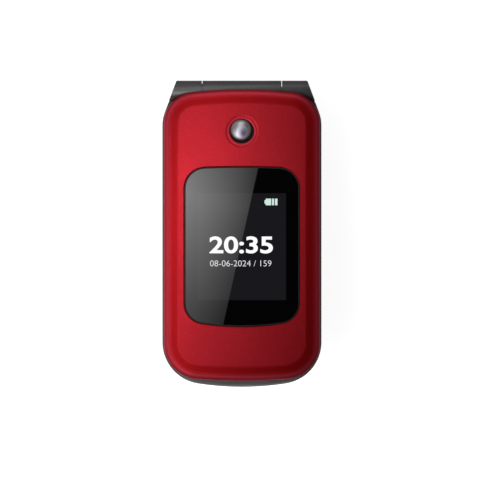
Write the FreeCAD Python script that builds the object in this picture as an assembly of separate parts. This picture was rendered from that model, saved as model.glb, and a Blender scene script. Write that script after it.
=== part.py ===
import FreeCAD, Part
import math
import os

# A flip phone, closed and lying on its back: lid up, hinge towards +Y, origin under its middle.
# X runs across, Y along and Z through the thickness. All lengths are in millimetres.

# Whole object
length = 102.0
width = 53.0
height = 19.0
overrun = 6.0
near = 0.001
seat_gap = 0.05
run_gap = 0.1
arc_shares = (0, 0.5, 1)

# Hinge line and barrel
barrel_radius = 3.4
axis_rise = 2.4
knuckle_length = 8.6
barrel_side_gap = 0.2
swing_gap = 0.3
swing_wall = 1.0

# Base outline, seen from above
base_corner = 14.0
base_bow = 95.0
shoulder_run = 12.6
shoulder_inset = 4.75
shoulder_round = 12.0
base_end_inset = 3.0
base_end_round = 7.5
knuckle_round = 0.4
base_rear_edge = 6.0
base_rim_edge = 0.8
base_wall = 1.3

# Base layers, the depths measured down from the keypad rim
cover_wall = 1.1
cover_drop = 3.8
cover_gap = 0.15
base_height = 10.6
keypad_sink = 0.6
front_roof = 1.15
split_drop = 3.4
board_drop = 0.6
board_thickness = 0.8
bay_floor = 0.7
lid_gap = 0.4

# Battery and its bay
battery_side_margin = 9.5
battery_room = 0.1
battery_corner = 1.5
bay_gap = 0.5
bay_wall = 1.0
bay_end_distance = 13.0
bay_high_distance = 30.6

# Battery cover and its rails
cover_end_distance = 22.6
rail_depth = 1.7
rail_height = 0.7
rail_start_distance = 22.0
grip_count = 5
grip_pitch = 2.2
grip_width = 18.0
grip_depth = 0.35
grip_radius = 0.7
grip_distance = 11.0

# Housing screws, under the battery cover
screw_shank = 0.8
screw_head = 1.5
screw_head_height = 1.0
screw_recess_gap = 0.15
screw_tip_gap = 0.85
slot_width = 0.4
slot_depth = 0.5
boss_radius = 2.2
boss_split = 4.0
upper_screw_side = 8.0
upper_screw_distance = 25.6
lower_screw_side = 11.0
lower_screw_distance = 8.5
boss_hole_gap = 0.4

# Main board and what sits on it
board_inset = 3.4
board_end_distance = 4.6
sim_side_margin = 4.5
sim_length = 22.0
sim_spacing = 3.0
sim_window_gap = 0.3
sim_distance = 43.6
can_length = 13.0
can_height = 1.7
can_wall = 0.2
can_spacing = 3.0
can_left_margin = 11.0
can_jack_gap = 1.1
can_distance = 12.6
dome_radius = 2.2
dome_top_radius = 1.2
dome_height = 0.2
microphone_radius = 2.0
microphone_height = 1.25
microphone_hole = 0.5
microphone_screw_gap = 7.5
microphone_distance = 7.0

# Battery contacts
contact_block_width = 11.0
contact_block_depth = 3.2
contact_block_bottom = 2.8
contact_low_margin = 0.8
contact_high_margin = 0.9
contact_count = 3
contact_pitch = 3.2
contact_width = 1.2
contact_reach = 1.2

# Loudspeaker, vibration motor
speaker_left_margin = 10.0
speaker_motor_gap = 1.5
speaker_length = 11.0
speaker_can_gap = 0.6
speaker_corner = 2.0
speaker_distance = 12.6
grille_columns = 5
grille_rows = 3
grille_pitch = 2.0
grille_hole = 0.55
motor_radius = 4.0
motor_can_gap = 0.9
motor_jack_gap = 3.6
motor_distance = 12.6

# Charging socket at the lower end
socket_width = 7.5
socket_height = 2.6
socket_depth = 5.4
socket_wall = 0.35
socket_set_back = 0.5
socket_gap = 0.4
tongue_width = 4.6
tongue_height = 0.65
tongue_set_back = 1.2

# Headphone jack on the right side
jack_bore = 1.8
jack_depth = 13.0
jack_body_width = 6.4
jack_body_height = 4.95
jack_collar = 2.15
jack_collar_gap = 0.15
jack_set_back = 0.4
jack_drop = 0.15
jack_distance = 16.6
jack_inset = 3.4
jack_back_wall = 0.5
jack_board_gap = 0.5

# Keys
key_sink = 0.1
key_travel = 0.3
key_gap = 0.2
key_corner = 2.6
key_edge = 0.35
flange_reach = 0.5
flange_thickness = 0.5
flange_gap = 0.1
plunger_radius = 1.0
key_space = 1.6
number_rows = 4
number_columns = 3
number_low_margin = 0.9
number_high_distance = 39.9
side_key_pad_gap = 2.1
side_key_margin = 1.0
side_key_length = 8.0
call_key_distance = 32.8
soft_key_distance = 17.6
pad_distance = 23.6
pad_outer = 10.2
pad_inner = 5.2
pad_split = 1.6
ok_radius = 3.6
keypad_side_margin = 3.2
keypad_corner = 6.0
keypad_low_distance = 13.0
keypad_high_distance = 8.6

# Lid outline, seen from above
lid_side_inset = 0.5
lid_free_inset = 2.1
lid_free_corner = 12.0
lid_free_bow = 200.0
lid_hinge_inset = 2.9
lid_hinge_corner = 10.5
lid_hinge_bow = 150.0
lid_band = 5.0
lid_band_drop = 0.7
lid_edge = 2.4
lid_rim_edge = 0.8
lid_wall = 1.3
lid_roof = 1.2
lid_floor = 1.2
lid_split = 2.6
neck_length = 5.1
neck_height = 4.6

# Outer window and outer display
window_side_margin = 6.9
window_high_distance = 25.3
window_low_distance = 18.1
window_low_corner = 6.8
window_low_bow = 86.0
window_high_corner = 7.0
window_high_bow = 290.0
window_bevel = 0.35
window_gap = 0.15
window_sink = 0.1
window_flange = 1.2
window_flange_thickness = 0.6
outer_display_side_margin = 2.3
outer_display_end_margin = 3.875
outer_display_thickness = 1.6
outer_display_corner = 0.6
outer_display_gap = 0.1

# Camera
camera_distance = 13.5
dish_radius = 5.6
dish_depth = 0.3
lip_bead = 0.55
ring_radius = 3.9
ring_flange = 0.7
ring_flange_thickness = 0.6
ring_ledge = 0.3
dome_radius = 3.4
dome_rise = 0.85
dome_sink = 0.05
lens_radius = 2.0
lens_drop = 0.35
camera_width = 7.6
camera_height = 1.45
camera_barrel = 2.8

# Lid board, main display and its window
lid_board_side_margin = 7.9
lid_board_high_distance = 7.6
lid_board_low_distance = 17.0
lid_board_thickness = 0.7
lid_board_corner = 1.0
inner_window_side_margin = 4.7
inner_window_lap = 0.75
inner_window_corner = 2.5
inner_window_flange = 0.8
inner_window_flange_thickness = 0.4
main_display_side_margin = 4.85
main_display_corner = 0.6
main_display_high_distance = 18.25
main_display_low_distance = 19.65

# Earpiece and magnet in the free end of the lid
earpiece_width = 13.0
earpiece_length = 5.6
earpiece_height = 2.4
earpiece_distance = 6.6
mesh_width = 11.0
mesh_length = 2.6
mesh_thickness = 0.4
mesh_ledge = 0.5
mesh_slot_count = 4
mesh_slot_pitch = 2.2
mesh_slot_width = 1.5
mesh_slot_length = 0.7
magnet_width = 3.0
magnet_length = 6.0
magnet_height = 1.5
magnet_side = 13.7
magnet_distance = 10.0

# Lid screws and the rubber bumpers over them
lid_screw_recess = 1.6
lid_screw_tip_gap = 0.8
lid_boss = 2.4
lid_low_screw_side = 6.7
lid_low_screw_distance = 9.6
lid_high_screw_side = 4.8
lid_high_screw_distance = 11.6
bumper_radius = 1.5
bumper_rise = 0.25
bumper_height = 0.7

# Hinge cartridge on the right, hollow bush and flexible circuit on the left
barrel_bore = 2.5
barrel_web = 1.2
can_skin = 0.5
cartridge_end = 0.6
cartridge_head = 8.15
spring_wall = 0.6
spring_gap = 0.1
cam_length = 2.8
cam_gap = 0.2
shaft_radius = 1.4
shaft_flat = 1.0
shaft_depth = 4.8
bush_wall = 0.75
bush_in_barrel = 3.6
bush_in_knuckle = 1.7
roll_radius = 1.3
roll_skin = 0.15
roll_gap = 0.2
lid_strip_width = 4.0
base_strip_width = 2.6
strip_slot_gap = 0.2
plug_length = 2.6
plug_height = 0.6
plug_set_back = 0.4
knuckle_end_wall = 3.7

# Places worked out from the sizes above
V = FreeCAD.Vector
half = width / 2
end = length / 2
axis_y = end - barrel_radius
barrel_half = half - shoulder_inset - knuckle_length
axis_height = base_height + axis_rise
keypad_face = base_height - keypad_sink
front_roof_under = keypad_face - front_roof
key_top = base_height - key_sink
screw_bottom = cover_wall + cover_gap + screw_recess_gap
screw_length = front_roof_under - screw_tip_gap - screw_bottom - screw_head_height
split_height = base_height - split_drop
cover_top = split_height - cover_drop
rail_bottom = cover_top - rail_height
board_seat = split_height - board_drop
bay_roof = board_seat - bay_floor
swing_radius = barrel_radius + swing_gap
shell_radius = swing_radius + swing_wall
knuckle_face = barrel_half + barrel_side_gap
knuckle_bore_depth = knuckle_length - knuckle_end_wall
base_end = end - base_end_inset
cover_end = axis_y - cover_end_distance
bay_low = -end + bay_end_distance
bay_high = axis_y - bay_high_distance
battery_length = bay_high - bay_low - 2 * bay_gap
battery_width = width - 2 * battery_side_margin
battery_thickness = bay_roof - cover_wall - cover_gap - battery_room
contact_height = board_seat - contact_block_bottom - contact_low_margin - contact_high_margin
speaker_height = board_seat - can_height - base_wall - speaker_can_gap
motor_height = board_seat - can_height - base_wall - motor_can_gap
bay_half = battery_width / 2 + bay_gap
sim_width = bay_half - sim_side_margin
sim_pitch = sim_width + sim_spacing
board_top = board_seat + board_thickness
jack_height = (base_wall + front_roof_under) / 2 - jack_drop
jack_y = axis_y - jack_distance
upper_screw_x = half - upper_screw_side
lower_screw_x = half - lower_screw_side
microphone_x = lower_screw_x - microphone_screw_gap
jack_end = half - jack_set_back - jack_depth
jack_back = jack_end - jack_back_wall
can_left = can_left_margin - half
can_width = (jack_back - can_jack_gap - can_left - can_spacing) / 2
can_x = can_left + can_width / 2
can_pitch = can_width + can_spacing
motor_x = jack_back - motor_jack_gap - motor_radius
speaker_width = motor_x - motor_radius - speaker_motor_gap + half - speaker_left_margin
speaker_x = speaker_left_margin - half + speaker_width / 2
spring_length = barrel_half - cartridge_head
lid_half = half - lid_side_inset
lid_high_screw_x = lid_half - lid_high_screw_side
lid_low_screw_x = lid_half - lid_low_screw_side
lid_bottom = base_height + lid_gap
lid_seam = lid_bottom + lid_split
lid_free = -end + lid_free_inset
lid_hinge = end - lid_hinge_inset
lid_inside_top = height - lid_roof
lid_inside_floor = lid_bottom + lid_floor
lid_screw_length = lid_inside_top - lid_screw_tip_gap - lid_inside_floor - slot_width
window_high = axis_y - window_high_distance
window_low = lid_free + window_low_distance
window_half = lid_half - window_side_margin
window_y = (window_high + window_low) / 2
outer_display_width = 2 * (window_half - outer_display_side_margin)
window_length = window_high - window_low
outer_display_length = window_length - 2 * outer_display_end_margin
camera_y = axis_y - camera_distance
main_display_high = axis_y - main_display_high_distance
main_display_low = lid_free + main_display_low_distance
main_display_y = (main_display_high + main_display_low) / 2
main_display_length = main_display_high - main_display_low
main_display_width = 2 * (lid_half - main_display_side_margin)
inner_window_half = lid_half - inner_window_side_margin
inner_window_length = main_display_length - 2 * inner_window_lap
lid_board_half = lid_half - lid_board_side_margin
display_seat = lid_inside_floor + inner_window_flange_thickness
lid_board_top = lid_inside_top - window_flange_thickness - outer_display_gap - outer_display_thickness
lid_board_bottom = lid_board_top - lid_board_thickness
magnet_x = lid_half - magnet_side
earpiece_y = lid_free + earpiece_distance
pad_y = axis_y - pad_distance
keypad_half = half - keypad_side_margin
keypad_low = -end + keypad_low_distance
keypad_high = axis_y - keypad_high_distance
number_pitch_x = (2 * keypad_half - key_space) / number_columns
number_width = number_pitch_x - key_space
number_low = keypad_low + number_low_margin
number_pitch_y = (axis_y - number_high_distance - number_low) / number_rows
number_length = number_pitch_y - key_space
side_key_inner = pad_outer + side_key_pad_gap
side_key_outer = keypad_half - side_key_margin
side_key_width = side_key_outer - side_key_inner
side_key_x = (side_key_outer + side_key_inner) / 2


def box(x0, x1, y0, y1, z0, z1):
    """Box between two corners."""
    return Part.makeBox(x1 - x0, y1 - y0, z1 - z0, V(x0, y0, z0))


def block(x, y, wide, long, z0, z1):
    """Box centred on a point of the plan."""
    return box(x - wide / 2, x + wide / 2, y - long / 2, y + long / 2, z0, z1)


def post(x, y, radius, z0, z1):
    """Upright round bar."""
    return Part.makeCylinder(radius, z1 - z0, V(x, y, z0))


def rod(radius, x0, x1):
    """Round bar along the hinge line."""
    return Part.makeCylinder(radius, x1 - x0, V(x0, axis_y, axis_height), V(1, 0, 0))


def edges_at(solid, z):
    """Edges that lie flat at one height."""
    flat = [e for e in solid.Edges if abs(e.BoundBox.ZMin - z) < near and abs(e.BoundBox.ZMax - z) < near]
    return flat


def upright_edges(solid):
    """Edges that stand upright."""
    return [e for e in solid.Edges if e.BoundBox.XLength < near and e.BoundBox.YLength < near]


def plate(x, y, wide, long, corner, z0, z1):
    """Plate with round corners, centred on a point of the plan."""
    solid = block(x, y, wide, long, z0, z1)
    return solid.makeFillet(corner, upright_edges(solid))


def mirrored(point):
    """The same point on the other side of the phone."""
    return V(-point.x, point.y, point.z)


def arc(points):
    """Arc through three points."""
    return Part.Arc(*points).toShape()


def line(a, b):
    """Straight edge between two points."""
    return Part.LineSegment(a, b).toShape()


def end_points(half_width, y, corner, bow, way):
    """Right half of an outline's bowed end: side, middle of the corner, start of the bow."""
    bow_y = y - way * bow
    corner_x = half_width - corner
    rise = math.sqrt((bow - corner) ** 2 - corner_x ** 2)
    lean = math.atan2(rise, corner_x)
    points = []
    for share in arc_shares:
        turn = lean * share
        x = corner_x + corner * math.cos(turn)
        points.append(V(x, bow_y + way * (rise + corner * math.sin(turn)), 0))
    return points


def end_edges(points, y):
    """Both corners and the bow of an outline's end, from the right side to the left."""
    flipped = [mirrored(p) for p in reversed(points)]
    return [arc(points), arc([points[-1], V(0, y, 0), flipped[0]]), arc(flipped)]


def bowed_face(half_width, low, high, inset=0):
    """Outline with straight sides and two bowed ends, each given as place, corner and bow radius."""
    w = half_width - inset
    low_y, low_corner, low_bow = low
    high_y, high_corner, high_bow = high
    bottom = end_points(w, low_y + inset, low_corner - inset, low_bow - inset, -1)
    top = end_points(w, high_y - inset, high_corner - inset, high_bow - inset, 1)
    edges = end_edges(bottom, low_y + inset) + end_edges(top, high_y - inset)
    edges.append(line(bottom[0], top[0]))
    edges.append(line(mirrored(bottom[0]), mirrored(top[0])))
    return Part.Face(Part.Wire(Part.__sortEdges__(edges)))


def round_corner(before, corner, after, radius):
    """Start, middle and end of the arc that rounds one corner of a straight path."""
    back = (before - corner).normalize()
    ahead = (after - corner).normalize()
    half_turn = back.getAngle(ahead) / 2
    reach = radius / math.tan(half_turn)
    centre = corner + (back + ahead).normalize() * (radius / math.sin(half_turn))
    middle = centre + (corner - centre).normalize() * radius
    return [corner + back * reach, middle, corner + ahead * reach]


def base_face(inset, hinge_end, end_round):
    """Outline of the base: bowed lower end, straight sides, shoulders that lean in to the hinge."""
    slope = math.hypot(shoulder_run, shoulder_inset)
    side = half - inset
    top = hinge_end - inset
    shoulder_y = end - shoulder_run
    lean_start = V(side, shoulder_y - inset * (slope - shoulder_run) / shoulder_inset, 0)
    lean_end = V(half - (inset * slope + (top - shoulder_y) * shoulder_inset) / shoulder_run, top, 0)
    bottom = end_points(side, inset - end, base_corner - inset, base_bow - inset, -1)
    shoulder = round_corner(bottom[0], lean_start, lean_end, shoulder_round - inset)
    corner = round_corner(lean_start, lean_end, mirrored(lean_end), end_round - inset)
    edges = end_edges(bottom, inset - end)
    for flip in (False, True):
        low, first, second = bottom[0], shoulder, corner
        if flip:
            low = mirrored(low)
            first = [mirrored(p) for p in first]
            second = [mirrored(p) for p in second]
        edges += [line(low, first[0]), arc(first), line(first[-1], second[0]), arc(second)]
    edges.append(line(corner[-1], mirrored(corner[-1])))
    return Part.Face(Part.Wire(Part.__sortEdges__(edges)))


def prism(face, z0, z1):
    """Face of the plan carried up between two heights."""
    lifted = face.copy()
    lifted.translate(V(0, 0, z0))
    return lifted.extrude(V(0, 0, z1 - z0))


def base_shell(inset, z1):
    """Base body below a height, drawn in by a wall, with its round rear edge."""
    solid = prism(base_face(inset, base_end, base_end_round), inset, height)
    solid = solid.makeFillet(base_rear_edge - inset, edges_at(solid, inset))
    return solid.common(box(-width, width, -length, length, 0, z1))


def screw_places(x_high, y_high, x_low, y_low):
    """Four places of a set of screws."""
    return [(side * x, y) for x, y in ((x_high, y_high), (x_low, y_low)) for side in (-1, 1)]


housing_screw_places = screw_places(
    upper_screw_x, axis_y - upper_screw_distance, lower_screw_x, lower_screw_distance - end)
lid_screw_places = screw_places(
    lid_high_screw_x, axis_y - lid_high_screw_distance, lid_low_screw_x, lid_free + lid_low_screw_distance)


def battery_cover():
    """Rear cover: a shallow tray, open at the hinge end, with rails inside its long sides."""
    outer = base_shell(0, cover_top)
    tray = outer.cut(base_shell(cover_wall, cover_top + overrun))
    rail_low = -end + rail_start_distance
    for side in (-1, 1):
        inner = side * (half - cover_wall - rail_depth)
        outside = side * (half - near)
        rail = box(min(inner, outside), max(inner, outside), rail_low, cover_end, rail_bottom, cover_top)
        tray = tray.fuse(rail.common(outer))
    beyond = box(-half - overrun, half + overrun, cover_end, end + overrun, -overrun, cover_top + overrun)
    tray = tray.cut(beyond)
    for n in range(grip_count):
        y = -end + grip_distance + n * grip_pitch
        groove = Part.makeCylinder(grip_radius, grip_width, V(-grip_width / 2, y, 0), V(1, 0, 0))
        groove.translate(V(0, 0, grip_depth - grip_radius))
        tray = tray.cut(groove)
    return tray


def rear_housing():
    """Rear half of the base: fixed end by the hinge, walls, battery bay and screw pillars."""
    inner = cover_wall + cover_gap
    body = base_shell(inner, split_height)
    above_cover = base_shell(0, split_height)
    band = box(-half, half, -end, end, cover_top + cover_gap, split_height)
    fixed = box(-half, half, cover_end + cover_gap, end, 0, split_height)
    body = body.fuse(above_cover.common(band)).fuse(above_cover.common(fixed))
    hollow = base_shell(inner + base_wall, split_height + overrun)
    wall_half = bay_half + bay_wall
    hollow = hollow.cut(box(-wall_half, wall_half, bay_low - bay_wall, bay_high + bay_wall, 0, board_seat))
    fixed_hollow = base_shell(base_wall, split_height + overrun)
    hollow = hollow.fuse(fixed_hollow.common(
        box(-half, half, cover_end + cover_gap + base_wall, end, 0, split_height + overrun)))
    for x, y in housing_screw_places:
        hollow = hollow.cut(post(x, y, boss_radius + boss_hole_gap, 0, boss_split))
    body = body.cut(hollow)
    body = body.cut(box(-bay_half, bay_half, bay_low, bay_high, 0, bay_roof))
    for x, y in housing_screw_places:
        seat = inner + screw_head_height + screw_recess_gap
        body = body.cut(post(x, y, screw_head + screw_recess_gap, 0, seat))
        body = body.cut(post(x, y, screw_shank + screw_recess_gap, 0, boss_split + overrun))
    for side in (-1, 1):
        gap_inner = side * (half - cover_wall - rail_depth - cover_gap)
        gap_outer = side * (half + overrun)
        groove = box(min(gap_inner, gap_outer), max(gap_inner, gap_outer), -end - overrun,
                     cover_end + cover_gap, rail_bottom - cover_gap, cover_top + cover_gap)
        body = body.cut(groove)
    for x, y in sim_places():
        window_width = sim_width + sim_window_gap
        body = body.cut(block(x, y, window_width, sim_length + sim_window_gap, bay_roof - near, board_seat))
    contact_half = contact_block_width / 2 + seat_gap
    body = body.cut(box(-contact_half, contact_half, bay_high - seat_gap, bay_high + bay_wall + seat_gap,
                        contact_block_bottom, board_seat))
    body = body.cut(block(0, -end, socket_width + socket_gap, socket_depth + overrun,
                          board_seat - socket_height - socket_gap / 2, board_seat))
    body = body.cut(jack_hole(jack_collar + jack_collar_gap))
    for n in range(grille_columns):
        for m in range(grille_rows):
            x = speaker_x + (n - (grille_columns - 1) / 2) * grille_pitch
            y = axis_y - speaker_distance + (m - (grille_rows - 1) / 2) * grille_pitch
            body = body.cut(post(x, y, grille_hole, -overrun, base_wall + overrun))
    return body


def sim_places():
    """Centres of the two card holders."""
    return [(side * sim_pitch / 2, axis_y - sim_distance) for side in (-1, 1)]


def jack_hole(radius):
    """Round bar along the headphone jack, through the right side wall."""
    x0 = half - jack_inset
    return Part.makeCylinder(radius, half + overrun - x0, V(x0, jack_y, jack_height), V(1, 0, 0))


def key_places():
    """Name, centre and size of every oblong key."""
    places = {}
    names = ("star", "0", "hash", "7", "8", "9", "4", "5", "6", "1", "2", "3")
    for n, name in enumerate(names):
        row, column = divmod(n, number_columns)
        x = (column - (number_columns - 1) / 2) * number_pitch_x
        y = number_low + (row + 1 / 2) * number_pitch_y
        places["key_" + name] = (x, y, number_width, number_length)
    for side, call, soft in ((-1, "call_key", "soft_left_key"), (1, "end_key", "soft_right_key")):
        places[call] = (side * side_key_x, axis_y - call_key_distance, side_key_width, side_key_length)
        places[soft] = (side * side_key_x, axis_y - soft_key_distance, side_key_width, side_key_length)
    return places


oblong_keys = key_places()
direction_turns = {"nav_up_key": 0, "nav_left_key": 90, "nav_down_key": 180, "nav_right_key": 270}


def direction_slice(turn, grow, z0, z1):
    """Quarter of the ring round the OK key, grown on every side."""
    ring = post(0, pad_y, pad_outer + grow, z0, z1).cut(post(0, pad_y, pad_inner - grow, z0, z1))
    tip = (pad_split / 2 - grow) * math.sqrt(2)
    reach = pad_outer + overrun
    corners = [V(0, pad_y + tip, z0), V(reach, pad_y + tip + reach, z0), V(-reach, pad_y + tip + reach, z0)]
    wedge = Part.Face(Part.makePolygon(corners + corners[:1])).extrude(V(0, 0, z1 - z0))
    quarter = ring.common(wedge)
    quarter.rotate(V(0, pad_y, 0), V(0, 0, 1), turn)
    return quarter


def key_outline(name, grow, z0, z1):
    """Upright solid of a key's outline, grown on every side."""
    if name == "ok_key":
        return post(0, pad_y, ok_radius + grow, z0, z1)
    if name in direction_turns:
        return direction_slice(direction_turns[name], grow, z0, z1)
    x, y, wide, long = oblong_keys[name]
    return plate(x, y, wide + 2 * grow, long + 2 * grow, key_corner + grow, z0, z1)


def key_centre(name):
    """Place of the dome under a key."""
    if name == "ok_key":
        return 0, pad_y
    if name in direction_turns:
        turn = math.radians(direction_turns[name])
        middle = (pad_outer + pad_inner) / 2
        return -middle * math.sin(turn), pad_y + middle * math.cos(turn)
    return oblong_keys[name][:2]


key_names = list(oblong_keys) + list(direction_turns) + ["ok_key"]


def key(name):
    """Key: cap that shows in the keypad, flange that holds it in, plunger over its dome."""
    flange_top = front_roof_under - flange_gap
    flange_bottom = flange_top - flange_thickness
    cap = key_outline(name, 0, flange_top - near, key_top)
    cap = cap.makeFillet(key_edge, edges_at(cap, key_top))
    flange = key_outline(name, flange_reach, flange_bottom, flange_top)
    x, y = key_centre(name)
    tip = board_top + dome_height + key_travel + seat_gap
    plunger = post(x, y, plunger_radius, tip, flange_bottom + near)
    return cap.fuse(flange).fuse(plunger)


def front_housing():
    """Front half of the base: keypad face with its openings, screw pillars and two hinge knuckles."""
    body = prism(base_face(0, base_end, base_end_round), split_height, base_height)
    body = body.makeFillet(base_rim_edge, edges_at(body, base_height))
    inside = base_face(base_wall, base_end, base_end_round)
    body = body.cut(prism(inside, split_height - overrun, front_roof_under))
    hinge_block = prism(base_face(0, base_end, base_end_round), split_height, base_height)
    cradle = rod(shell_radius, -knuckle_face - base_wall, knuckle_face + base_wall)
    body = body.fuse(cradle.common(hinge_block))
    shoulders = prism(base_face(0, end, knuckle_round), split_height, height)
    for side in (-1, 1):
        x0, x1 = sorted((side * knuckle_face, side * half))
        body = body.fuse(rod(barrel_radius, x0, x1).common(shoulders))
    body = body.cut(rod(swing_radius, -knuckle_face, knuckle_face))
    keypad_y = (keypad_low + keypad_high) / 2
    body = body.cut(plate(0, keypad_y, 2 * keypad_half, keypad_high - keypad_low, keypad_corner,
                          keypad_face, base_height + overrun))
    for name in key_names:
        body = body.cut(key_outline(name, key_gap, front_roof_under - overrun, base_height))
    microphone_y = -end + microphone_distance
    body = body.cut(post(microphone_x, microphone_y, microphone_hole, split_height, base_height))
    body = body.cut(jack_hole(jack_collar + jack_collar_gap))
    for x, y in housing_screw_places:
        pillar = post(x, y, boss_radius, boss_split, front_roof_under + near)
        body = body.fuse(pillar)
        body = body.cut(post(x, y, screw_shank + seat_gap, boss_split - overrun, front_roof_under - near))
    body = body.cut(shaft_bar(seat_gap, knuckle_face - near, knuckle_face + knuckle_bore_depth))
    bush_seat = barrel_bore - run_gap + seat_gap
    body = body.cut(rod(bush_seat, -knuckle_face - knuckle_bore_depth, -knuckle_face + near))
    x0, x1 = base_strip_span()
    strip_y = axis_y - roll_radius
    body = body.cut(box(x0 - strip_slot_gap, x1 + strip_slot_gap, strip_y - strip_slot_gap,
                        strip_y + roll_skin + strip_slot_gap, split_height, axis_height))
    return body


def shaft_bar(grow, x0, x1):
    """Hinge shaft's end: a round bar with one flat, grown on every side."""
    bar = rod(shaft_radius + grow, x0, x1)
    above = axis_height + shaft_flat + grow
    return bar.cut(box(x0, x1, axis_y - overrun, axis_y + overrun, above, above + overrun))


def main_board():
    """Main circuit board, with clearance round the screw pillars and the headphone jack."""
    board = prism(base_face(board_inset, base_end, base_end_round), board_seat, board_top)
    limit = axis_y - board_end_distance
    board = board.cut(box(-half, half, limit, end, 0, height))
    for x, y in housing_screw_places:
        board = board.cut(post(x, y, boss_radius + boss_hole_gap, 0, height))
    gap = jack_body_width + 2 * jack_board_gap
    return board.cut(box(jack_back - jack_board_gap, half, jack_y - gap / 2, jack_y + gap / 2, 0, height))


def shield_cans():
    """Two thin metal lids soldered over the circuits under the board."""
    cans = []
    for n in range(2):
        x = can_x + n * can_pitch
        y = axis_y - can_distance
        can = plate(x, y, can_width, can_length, can_wall + can_wall, board_seat - can_height, board_seat)
        inside = block(x, y, can_width - 2 * can_wall, can_length - 2 * can_wall,
                       board_seat - can_height + can_wall, board_seat)
        cans.append(can.cut(inside))
    return Part.makeCompound(cans)


def snap_domes():
    """Metal domes on the board, one under every key, drawn pressed."""
    domes = []
    for name in key_names:
        x, y = key_centre(name)
        domes.append(Part.makeCone(dome_radius, dome_top_radius, dome_height, V(x, y, board_top)))
    return Part.makeCompound(domes)


def battery():
    """Flat battery pack in its bay."""
    bottom = cover_wall + cover_gap
    y = (bay_low + bay_high) / 2
    return plate(0, y, battery_width, battery_length, battery_corner, bottom, bottom + battery_thickness)


def battery_contacts():
    """Contact block behind the bay's end wall, and three blades that reach the battery."""
    front = bay_high + seat_gap
    body = box(-contact_block_width / 2, contact_block_width / 2, front, front + contact_block_depth,
               contact_block_bottom + seat_gap, board_seat)
    blades = []
    for n in range(contact_count):
        x = (n - (contact_count - 1) / 2) * contact_pitch
        z = contact_block_bottom + contact_low_margin
        tip = bay_high - bay_gap
        middle = tip + contact_reach / 2
        blade = block(x, middle, contact_width, contact_reach, z, z + contact_height)
        body = body.cut(blade)
        blades.append(blade)
    return Part.makeCompound([body] + blades)


def sim_holders():
    """Two card holders under the board, showing in the bay's roof."""
    holders = []
    for x, y in sim_places():
        holder = block(x, y, sim_width, sim_length, bay_roof + seat_gap, board_seat)
        slot = block(x, y, sim_width - 2 * can_wall, sim_length,
                     bay_roof + seat_gap + can_wall, board_seat - can_wall)
        holders.append(holder.cut(slot))
    return Part.makeCompound(holders)


def loudspeaker():
    """Loudspeaker on the fixed rear wall, behind its grille."""
    y = axis_y - speaker_distance
    top = base_wall + speaker_height
    return plate(speaker_x, y, speaker_width, speaker_length, speaker_corner, base_wall, top)


def vibration_motor():
    """Coin motor on the fixed rear wall."""
    return post(motor_x, axis_y - motor_distance, motor_radius, base_wall, base_wall + motor_height)


def microphone():
    """Microphone on the board, under its hole in the keypad face."""
    y = -end + microphone_distance
    return post(microphone_x, y, microphone_radius, board_top, board_top + microphone_height)


def usb_socket():
    """Charging socket under the board: folded metal shell with a contact tongue."""
    front = -end + socket_set_back
    bottom = board_seat - socket_height
    shell = box(-socket_width / 2, socket_width / 2, front, front + socket_depth, bottom, board_seat)
    shell = shell.cut(box(socket_wall - socket_width / 2, socket_width / 2 - socket_wall, front,
                          front + socket_depth - socket_wall, bottom + socket_wall, board_seat - socket_wall))
    middle = bottom + socket_height / 2
    tongue = box(-tongue_width / 2, tongue_width / 2, front + tongue_set_back, front + socket_depth,
                 middle - tongue_height / 2, middle + tongue_height / 2)
    return shell.fuse(tongue)


def headphone_jack():
    """Jack body beside the board, with its collar in the side wall."""
    outer = half - jack_inset
    body = box(jack_back, outer, jack_y - jack_body_width / 2, jack_y + jack_body_width / 2,
               jack_height - jack_body_height / 2, jack_height + jack_body_height / 2)
    reach = half - jack_set_back - outer
    body = body.fuse(Part.makeCylinder(jack_collar, reach, V(outer, jack_y, jack_height), V(1, 0, 0)))
    return body.cut(Part.makeCylinder(jack_bore, jack_depth, V(jack_end, jack_y, jack_height), V(1, 0, 0)))


def screw(x, y, head_z, shank):
    """Slotted screw that points up, with its head's lower face at a height."""
    solid = post(x, y, screw_head, head_z, head_z + screw_head_height)
    solid = solid.fuse(post(x, y, screw_shank, head_z, head_z + screw_head_height + shank))
    return solid.cut(block(x, y, slot_width, 2 * screw_head + overrun, head_z - overrun, head_z + slot_depth))


def housing_screws():
    """Four screws that hold the two halves of the base together."""
    return Part.makeCompound([screw(x, y, screw_bottom, screw_length) for x, y in housing_screw_places])


def hinge_shaft():
    """Shaft of the hinge cartridge, keyed into the right knuckle."""
    start = cam_span()[1] + cam_gap
    head = rod(barrel_bore - seat_gap - can_skin - run_gap, start, barrel_half)
    return head.fuse(shaft_bar(0, barrel_half - near, knuckle_face + shaft_depth))


def hinge_bush():
    """Hollow bush in the left knuckle that carries the barrel and lets the circuit through."""
    x0 = -knuckle_face - bush_in_knuckle
    x1 = bush_in_barrel - barrel_half
    outer = barrel_bore - run_gap
    return rod(outer, x0, x1).cut(rod(outer - bush_wall, x0 - overrun, x1 + overrun))


def roll(x0, x1):
    """Rolled part of the flexible circuit, on the hinge line."""
    return rod(roll_radius, x0, x1).cut(rod(roll_radius - roll_skin, x0 - overrun, x1 + overrun))


def base_strip_span():
    """Where the circuit's base end leaves the roll."""
    x1 = -knuckle_face - bush_in_knuckle - roll_gap
    return x1 - base_strip_width, x1


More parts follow.
